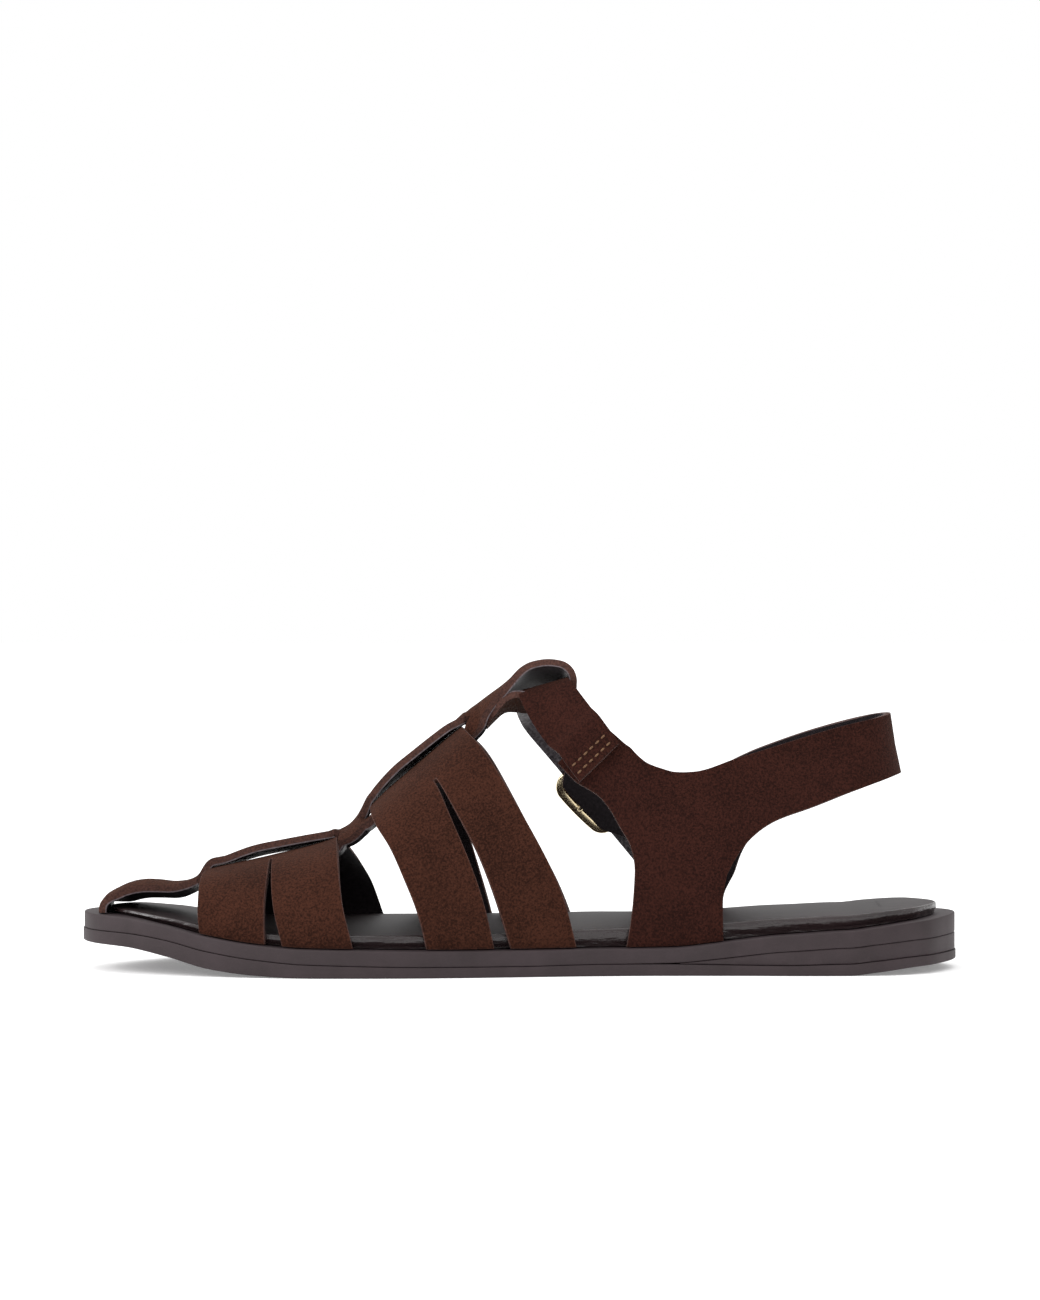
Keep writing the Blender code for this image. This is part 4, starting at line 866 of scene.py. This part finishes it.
def quarters():
    """The whole band: the inner quarter, the bend behind the heel, the outer quarter."""
    shares = np.linspace(0, 1, RUNG_CELLS + 1)
    rows = [[wall_point(-1, low_x + s * (high_x - low_x), low_z + s * (high_z - low_z))
             for s in shares] for low_x, low_z, high_x, high_z in side_rungs(MEDIAL_RUNGS)]
    heights = list(zip(HEEL_RUNGS["turn"], HEEL_RUNGS["low_height"] * HEEL_STRAP_HEIGHT,
                       HEEL_RUNGS["high_height"] * HEEL_STRAP_HEIGHT))
    rows += [[heel_point(turn, low_z + s * (high_z - low_z)) for s in shares]
             for turn, low_z, high_z in smooth_rungs(heights, RUNG_STEPS)]
    rows += [[wall_point(1, low_x + s * (high_x - low_x), low_z + s * (high_z - low_z))
              for s in shares] for low_x, low_z, high_x, high_z in side_rungs(LATERAL_RUNGS)]
    outer = np.array(rows)
    bend = slice(HEEL_BEND[0] * RUNG_STEPS, len(outer) - HEEL_BEND[1] * RUNG_STEPS)
    outer[bend] = settled(outer[bend], BEND_PASSES)
    normals = grid_normals(outer, outer * (0, 1, 0))
    inner = outer - LEATHER * normals
    floor = foot_z(outer[:, 0, 0])
    on_foot = outer[:, 0, 2] < floor + GLUE_LINE
    outer[on_foot, 0, 2] = inner[on_foot, 0, 2] = floor[on_foot]
    present = np.ones((outer.shape[0] - 1, outer.shape[1] - 1), dtype=bool)
    return leather_sheet("quarters_and_heel_strap", outer, inner, present,
                         [quarter_suede, lining, cut_edge_and_rim_highlight, painted_highlight_lining_edge])


# The quarters' nap lies the other way and looks a shade darker than the bands'
quarter_suede = suede_material("brown_suede_brushed_back", "1D0C09", "361B15")
quarter = quarters()
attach(quarter, "root")
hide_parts("quarters")

# Ankle strap
# A narrow strap of lined suede, sewn to the inner quarter's tab with two rows of
# thread, led through the centre strap's loop and buckled on the outer quarter.

ANKLE_STRAP_WIDTH = 0.0160
SEAM_LENGTH = 0.0113
BUCKLE_WIRE = 0.0030
BUCKLE_LENGTH = 0.0244
BUCKLE_LIFT = 0.0005
BAR_WIRE = 0.0022
PRONG_WIRE = 0.0013
TAB_LEATHER = 0.0010
TAB_WIDTH = 0.0130
BUCKLE_ALONG = 0.6020
BUCKLE_HEIGHT = 0.794
STRAP_RUN = np.array([0.640, -0.768])
STRAP_ACROSS = np.array([0.768, 0.640])
BAR_OUT = BAR_WIRE / 2 + BUCKLE_LIFT
FRAME_OUT = GLUE_LINE + LEATHER + BUCKLE_LIFT + BUCKLE_WIRE / 2
TAB_OVER = BAR_OUT + BAR_WIRE / 2 + GLUE_LINE + TAB_LEATHER
PRONG_OVER = FRAME_OUT + BUCKLE_WIRE / 2 + GLUE_LINE + PRONG_WIRE / 2
ANKLE_RUNGS = table("front_along front_height rear_along rear_height side",
                    (0.5251, 1.031, 0.5745, 1.200, -0.243),
                    (0.5078, 1.136, 0.5608, 1.281, -0.205),
                    (0.4992, 1.212, 0.5552, 1.308, -0.172),
                    (0.4965, 1.260, 0.5522, 1.315, -0.140),
                    (0.4957, 1.243, 0.5518, 1.297, -0.085),
                    (0.4953, 1.222, 0.5516, 1.275, -0.030),
                    (0.4947, 1.182, 0.5514, 1.247, 0.035),
                    (0.4941, 1.130, 0.5502, 1.224, 0.095),
                    (0.4996, 1.078, 0.5518, 1.204, 0.155),
                    (0.5130, 1.017, 0.5615, 1.168, 0.212))
BUCKLE_LINE = table("run lift",
                    (-0.60, 0), (-0.37, 0), (-0.26, 0.37), (-0.13, 1.03), (0.02, 1.05),
                    (0.15, 0.93), (0.27, 0.34), (0.37, 0), (0.60, 0), (0.92, 0),
                    (1.22, 0), (1.38, 0))
HOLE_RUNG = 2
HOLE_REACH = 1
STRAP_TIP_SHARE = 0.45
ANKLE_CELLS = 21
ANKLE_STEPS = 6
MEDIAL_RUN = np.array([-0.60, 0.80])
SEAM_RUNGS = (-0.03, 0.22, 0.53, 0.87)
SEAM_MIDDLE_RUNG = 1
ANKLE_PASSES = 60
FREE_LEAD = 2


def buckle_place(run, across, out):
    """Point near the buckle: along the strap, across it and out from the quarter."""
    x = float(x_of(BUCKLE_ALONG)) + run * STRAP_RUN[0] + across * STRAP_ACROSS[0]
    z = BUCKLE_HEIGHT * HEEL_STRAP_HEIGHT + run * STRAP_RUN[1] + across * STRAP_ACROSS[1]
    return wall_point(1, x, z, out)


def seam_place(run, share, out):
    """Point on the sewn end: along the strap, across it and out from the quarter."""
    k = SEAM_MIDDLE_RUNG
    low = np.array([x_of(MEDIAL_RUNGS["low_along"][k]),
                    HEEL_STRAP_HEIGHT * MEDIAL_RUNGS["low_height"][k]])
    high = np.array([x_of(MEDIAL_RUNGS["high_along"][k]),
                     HEEL_STRAP_HEIGHT * MEDIAL_RUNGS["high_height"][k]])
    reach = (high - low) * ANKLE_STRAP_WIDTH / 2 / np.linalg.norm(high - low)
    return wall_point(-1, *((low + high) / 2 + MEDIAL_RUN * run + share * reach), out)


def ankle_strap():
    """The strap from its sewn end, over the instep and the buckle's bar, to its tip."""
    across = np.linspace(-1, 1, ANKLE_CELLS + 1)
    rungs = [[seam_place(part * SEAM_LENGTH, share, LEATHER + GLUE_LINE) for share in across]
             for part in SEAM_RUNGS]
    for k in range(len(ANKLE_RUNGS["side"])):
        y = BALL_WIDTH * ANKLE_RUNGS["side"][k]
        front = np.array([x_of(ANKLE_RUNGS["front_along"][k]), y,
                          HEEL_STRAP_HEIGHT * ANKLE_RUNGS["front_height"][k]])
        rear = np.array([x_of(ANKLE_RUNGS["rear_along"][k]), y,
                         HEEL_STRAP_HEIGHT * ANKLE_RUNGS["rear_height"][k]])
        rungs.append([front + (share + 1) / 2 * (rear - front) for share in across])
    first_buckle_rung = len(rungs)
    for k, run in enumerate(BUCKLE_LINE["run"]):
        half = ANKLE_STRAP_WIDTH / 2
        if k == len(BUCKLE_LINE["run"]) - 1:
            half *= STRAP_TIP_SHARE
        out = LEATHER + GLUE_LINE + BUCKLE_LINE["lift"][k] * TAB_OVER
        rungs.append([buckle_place(run * BUCKLE_LENGTH, share * half, out) for share in across])
    rungs = np.array(rungs)
    places = np.linspace(0, len(rungs) - 1, (len(rungs) - 1) * ANKLE_STEPS + 1)
    outer = np.zeros((len(places), ANKLE_CELLS + 1, 3))
    for column in range(ANKLE_CELLS + 1):
        for axis in range(3):
            outer[:, column, axis] = curve_through(np.arange(len(rungs)),
                                                   rungs[:, column, axis], places)
    free = slice(ANKLE_STEPS * len(SEAM_RUNGS) - FREE_LEAD, ANKLE_STEPS * (first_buckle_rung + 1))
    outer[free] = settled(outer[free], ANKLE_PASSES)
    normals = grid_normals(outer, outer * (0, 1, 1))
    inner = outer - LEATHER * normals
    present = np.ones((len(places) - 1, ANKLE_CELLS), dtype=bool)
    hole = ANKLE_STEPS * (first_buckle_rung + HOLE_RUNG)
    middle = ANKLE_CELLS // 2
    present[hole:hole + ANKLE_STEPS, middle - HOLE_REACH:middle + HOLE_REACH + 1] = False
    return leather_sheet("ankle_strap_visual", outer, inner, present,
                         [quarter_suede, strap_lining_with_painted_sheen, cut_edge_and_rim_highlight, painted_highlight_lining_edge])


# The strap's lining has been rubbed shiny, and its light grey colour is a painted
# silvery highlight where it catches the light
strap_lining_with_painted_sheen = plain_leather("grey_painted_highlight_strap_lining", "332E31", "6B6569",
                             roughness=0.32, grain=0.0010, shine=0.5)


ankle = ankle_strap()
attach(ankle, "root")
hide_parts("ankle_strap")

# Strap stitching
# Two rows of brown linen thread hold the ankle strap's end on the quarter's tab. Each
# stitch is a short waxed stretch of thread that dips into its holes at both ends.

THREAD = 0.0006
STITCH = 0.0014
STITCH_GAP = 0.0009
STITCH_ROWS = (0.0016, 0.0042)
ROW_MARGIN = 0.0010
STITCH_FULLNESS = (0.5, 0.9, 1, 1, 1, 0.9, 0.5)
STITCH_ARCH = 0.5
STITCH_SUNK = 0.25


def tube(name, points, radius, material, sides=12, closed=False, normal=None, roundness=1):
    """Wire along points, its radius one value or one for each point.

    A roundness below 1 flattens its four sides.
    """
    points = np.array(points)
    count = len(points)
    radii = np.broadcast_to(radius, count)
    tangents = (np.roll(points, -1, axis=0) - np.roll(points, 1, axis=0) if closed
                else np.gradient(points, axis=0))
    tangents /= np.linalg.norm(tangents, axis=1)[:, None]
    if normal is None:
        normal = np.linalg.svd(points - points.mean(axis=0))[2][2]
    across = np.cross(tangents, normal)
    across /= np.linalg.norm(across, axis=1)[:, None]
    third = np.cross(across, tangents)
    turns = 2 * np.pi * np.arange(sides) / sides
    sideways = np.sign(np.cos(turns)) * np.abs(np.cos(turns))**roundness
    upward = np.sign(np.sin(turns)) * np.abs(np.sin(turns))**roundness
    vertices = np.concatenate([
        points[k] + radii[k] * (sideways[:, None] * across[k] + upward[:, None] * third[k])
        for k in range(count)])
    faces = []
    for k in range(count if closed else count - 1):
        after = (k + 1) % count
        for side in range(sides):
            other = (side + 1) % sides
            faces.append((k * sides + side, k * sides + other,
                          after * sides + other, after * sides + side))
    if not closed:
        faces.append(tuple(range(sides)))
        faces.append(tuple(range((count - 1) * sides, count * sides)))
    return mesh_object(name, vertices, faces, [material])


def join(name, parts):
    """One object from several meshes."""
    shape = bmesh.new()
    for part in parts:
        shape.from_mesh(part.data)
    mesh = bpy.data.meshes.new(name)
    shape.to_mesh(mesh)
    shape.free()
    for material in parts[0].data.materials:
        mesh.materials.append(material)
    for part in parts:
        bpy.data.objects.remove(part)
    thing = bpy.data.objects.new(name, mesh)
    bpy.context.scene.collection.objects.link(thing)
    return thing


# Waxed thread, matt, in a light brown that stands out from the suede
thread = plain_leather("waxed_linen_thread", "523A29", "73543A", roughness=0.7, grain=0.0004)
stitches = []
half_width = ANKLE_STRAP_WIDTH / 2
for row in STITCH_ROWS:
    for k in range(int((ANKLE_STRAP_WIDTH - 2 * ROW_MARGIN) / (STITCH + STITCH_GAP))):
        start = ROW_MARGIN - half_width + k * (STITCH + STITCH_GAP)
        points = [seam_place(row, (start + share * STITCH) / half_width, LEATHER + GLUE_LINE
                             + THREAD * (STITCH_ARCH * math.sin(math.pi * share) - STITCH_SUNK))
                  for share in np.linspace(0, 1, len(STITCH_FULLNESS))]
        radii = THREAD / 2 * np.array(STITCH_FULLNESS)
        stitches.append(tube("stitch", points, radii, thread, sides=8, normal=(0, 1, 0)))
stitching = join("ankle_strap_stitches", stitches)
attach(stitching, "root")

# Buckle
# The buckle is a brass casting with a pale gold finish: a rounded frame with a bar
# across its middle, and a bent wire prong that turns on the bar.

FRAME_LENGTH = 0.0226
FRAME_SIDE_ROOM = 0.0006
FRAME_CORNER = 0.0030
FRAME_BOW = 0.0006
FRAME_SHIFT = -0.0010
FRAME_TURN = math.radians(4.7)
FRAME_ROUNDNESS = 0.4
CORNER_POINTS = 12
SIDE_SHARES = np.linspace(0.8, -0.8, 9)
BAR_POINTS = 33
BAR_END_BEND = 6
WEAR_PATCH = 0.004

# Polished plating over brass, a mirror that wear has made a little softer in patches
gold, tree, shader = new_material("pale_gold_plated_brass")
place = add(tree, "ShaderNodeTexCoord").outputs["Object"]
wear = add(tree, "ShaderNodeTexNoise", {"Vector": place, "Scale": 1 / WEAR_PATCH,
                                        "Detail": 4.0})
gloss = add(tree, "ShaderNodeMapRange", {"Value": wear.outputs["Fac"], "To Min": 0.14,
                                         "To Max": 0.24})
tree.links.new(gloss.outputs["Result"], shader.inputs["Roughness"])
shader.inputs["Base Color"].default_value = linear("F1DFB6")
shader.inputs["Metallic"].default_value = 1.0

half_length = (FRAME_LENGTH - BUCKLE_WIRE) / 2
half_across = ANKLE_STRAP_WIDTH / 2 + FRAME_SIDE_ROOM + BUCKLE_WIRE / 2


def frame_place(run, across, out):
    """Point of the frame, which lies a little askew on the strap and has bowed sides."""
    across += math.copysign(FRAME_BOW * max(1 - (run / half_length)**2, 0), across)
    run_turned = run * math.cos(FRAME_TURN) - across * math.sin(FRAME_TURN)
    across_turned = run * math.sin(FRAME_TURN) + across * math.cos(FRAME_TURN)
    return buckle_place(run_turned, across_turned + FRAME_SHIFT, out)


points = []
for corner, (along, across) in enumerate(((1, 1), (-1, 1), (-1, -1), (1, -1))):
    for turn in np.linspace(corner, corner + 1, CORNER_POINTS) * math.pi / 2:
        points.append((along * (half_length - FRAME_CORNER) + FRAME_CORNER * math.cos(turn),
                       across * (half_across - FRAME_CORNER) + FRAME_CORNER * math.sin(turn)))
    if corner % 2 == 0:
        for share in SIDE_SHARES:
            points.append((along * share * (half_length - FRAME_CORNER), across * half_across))
frame_ring = tube("frame_ring", [frame_place(run, across, FRAME_OUT) for run, across in points],
                  BUCKLE_WIRE / 2, gold, sides=32, closed=True, roundness=FRAME_ROUNDNESS)
points = [frame_place(0, share * half_across,
                      BAR_OUT + (FRAME_OUT - BAR_OUT) * abs(share)**BAR_END_BEND)
          for share in np.linspace(-1, 1, BAR_POINTS)]
frame_bar = tube("frame_bar", points, BAR_WIRE / 2, gold, sides=16)
buckle_frame = join("buckle_frame_visual", [frame_ring, frame_bar])
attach(buckle_frame, "root")
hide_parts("buckle_frame")

PRONG_PIN = table("run out",
                  (-0.117, 0.44), (-0.170, 0.58), (-0.217, 0.83), (-0.278, 1.00),
                  (-0.436, 1.00), (-0.500, 0.99))
PRONG_CURL = np.radians(np.linspace(10, 142, 12))
PRONG_POINTS = 70
PRONG_TAPER = (3.2, 0.55)
hook = BAR_WIRE / 2 + GLUE_LINE + PRONG_WIRE / 2
points = [buckle_place(hook * math.cos(angle), 0, BAR_OUT + hook * math.sin(angle))
          for angle in PRONG_CURL]
points += [buckle_place(run * BUCKLE_LENGTH, 0, out * PRONG_OVER)
           for run, out in zip(PRONG_PIN["run"], PRONG_PIN["out"])]
points = np.array(points)
places = np.linspace(0, len(points) - 1, PRONG_POINTS)
points = np.stack([curve_through(np.arange(len(points)), points[:, axis], places)
                   for axis in range(3)], axis=1)
radii = PRONG_WIRE / 2 * np.minimum(1, np.linspace(*PRONG_TAPER, PRONG_POINTS))
prong = tube("buckle_prong_visual", points, radii, gold, sides=14)
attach(prong, "root")
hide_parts("buckle_prong")

# Buckle tab
# A strip of thinner lined suede folded round the bar, slotted for the prong and sewn
# to the outer quarter.

TAB_FOLD = table("run rise",
                 (-0.244, 0), (-0.183, 0), (-0.126, 0.48), (-0.056, 1), (0, 1),
                 (0.056, 1), (0.126, 0.48), (0.183, 0), (0.244, 0))
TAB_LINES = (-1, -0.8, -0.6, -0.4, -0.22, 0.22, 0.4, 0.6, 0.8, 1)
TAB_STEPS = 6
TAB_SLOT_LINE = 4
TAB_SLOT_FOLDS = (1, 6)
sewn = GLUE_LINE + TAB_LEATHER
count = len(TAB_FOLD["run"])
places = np.linspace(0, count - 1, (count - 1) * TAB_STEPS + 1)
runs = curve_through(np.arange(count), TAB_FOLD["run"], places)
rises = curve_through(np.arange(count), TAB_FOLD["rise"], places)
outer = np.array([[buckle_place(run * BUCKLE_LENGTH, line * TAB_WIDTH / 2,
                                sewn + rise * (TAB_OVER - sewn)) for line in TAB_LINES]
                  for run, rise in zip(runs, rises)])
inner = outer - TAB_LEATHER * grid_normals(outer, outer * (0, 1, 0))
present = np.ones((len(places) - 1, len(TAB_LINES) - 1), dtype=bool)
slot_from, slot_to = (fold * TAB_STEPS for fold in TAB_SLOT_FOLDS)
present[slot_from:slot_to, TAB_SLOT_LINE] = False
tab = leather_sheet("buckle_tab_visual", outer, inner, present, suede_layers)
tab.modifiers["rounded_cut_edge"].width = CUT_EDGE_ROUND / 2
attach(tab, "root")
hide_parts("buckle_tab")

# Studio
# A white paper floor that glows a little, in a white surround with a wide ceiling light
# and one softbox at the toe side, so that only a pale shadow lies under the sole.

bpy.context.scene.view_settings.view_transform = "Standard"
world = bpy.data.worlds.new("white_surround")
bpy.context.scene.world = world
world.use_nodes = True
surround = world.node_tree.nodes["Background"]
surround.inputs["Color"].default_value = linear("FFFFFF")
surround.inputs["Strength"].default_value = 1.0

# Matt white paper with the faintest unevenness, bright enough to melt into the surround
FLOOR_SIZE = 8.0
PAPER_CLOUD = 1 / 3
FLOOR_GLOW = 0.22
paper, tree, shader = new_material("white_paper_sweep")
place = add(tree, "ShaderNodeTexCoord").outputs["Object"]
tone = add(tree, "ShaderNodeTexNoise", {"Vector": place, "Scale": 1 / PAPER_CLOUD})
shade = add(tree, "ShaderNodeValToRGB", {"Fac": tone.outputs["Fac"]})
shade.color_ramp.elements[0].color = linear("F4F4F4")
shade.color_ramp.elements[1].color = linear("F8F8F8")
tree.links.new(shade.outputs["Color"], shader.inputs["Base Color"])
shader.inputs["Roughness"].default_value = 0.9
shader.inputs["Specular IOR Level"].default_value = 0.0
shader.inputs["Emission Color"].default_value = linear("FFFFFF")
shader.inputs["Emission Strength"].default_value = FLOOR_GLOW
half = FLOOR_SIZE / 2
floor = mesh_object("studio_floor", [(-half, -half, 0), (half, -half, 0), (half, half, 0),
                                     (-half, half, 0)], [(0, 1, 2, 3)], [paper])


def area_light(name, place, target, size, power):
    """A soft square light that looks at a point."""
    lamp = bpy.data.lights.new(name, "AREA")
    lamp.size = size
    lamp.energy = power
    thing = bpy.data.objects.new(name, lamp)
    aim = np.array(target, dtype=float) - np.array(place, dtype=float)
    thing.location = place
    thing.rotation_euler = (math.atan2(math.hypot(aim[0], aim[1]), -aim[2]), 0,
                            math.atan2(aim[0], -aim[1]) + math.pi)
    bpy.context.scene.collection.objects.link(thing)


area_light("toe_side_softbox", place=(-1.3, -0.6, 0.9), target=(0, 0, 0.03), size=0.8,
           power=14.0)
CEILING_POWER = 0.9
CEILING_SPREAD = math.radians(100)
ceiling_light = bpy.data.lights.new("ceiling_light", "SUN")
ceiling_light.energy = CEILING_POWER
ceiling_light.angle = CEILING_SPREAD
ceiling = bpy.data.objects.new("ceiling_light", ceiling_light)
bpy.context.scene.collection.objects.link(ceiling)

# Camera
# It stands at the photograph's height and distance on the shoe's inner side, a little
# above the shoe and tipped down slightly.

CAMERA_DISTANCE = 1.4
CAMERA_HEIGHT = 0.1274
CAMERA_PITCH = math.radians(1.428)
CAMERA_LENS = 131.9
CAMERA_SENSOR = 36
camera = bpy.data.objects.new("camera", bpy.data.cameras.new("camera"))
camera.location = (0, -CAMERA_DISTANCE, CAMERA_HEIGHT)
camera.rotation_euler = (math.pi / 2 - CAMERA_PITCH, 0, 0)
camera.data.sensor_fit = "VERTICAL"
camera.data.sensor_height = CAMERA_SENSOR
camera.data.lens = CAMERA_LENS
bpy.context.scene.collection.objects.link(camera)
bpy.context.scene.camera = camera
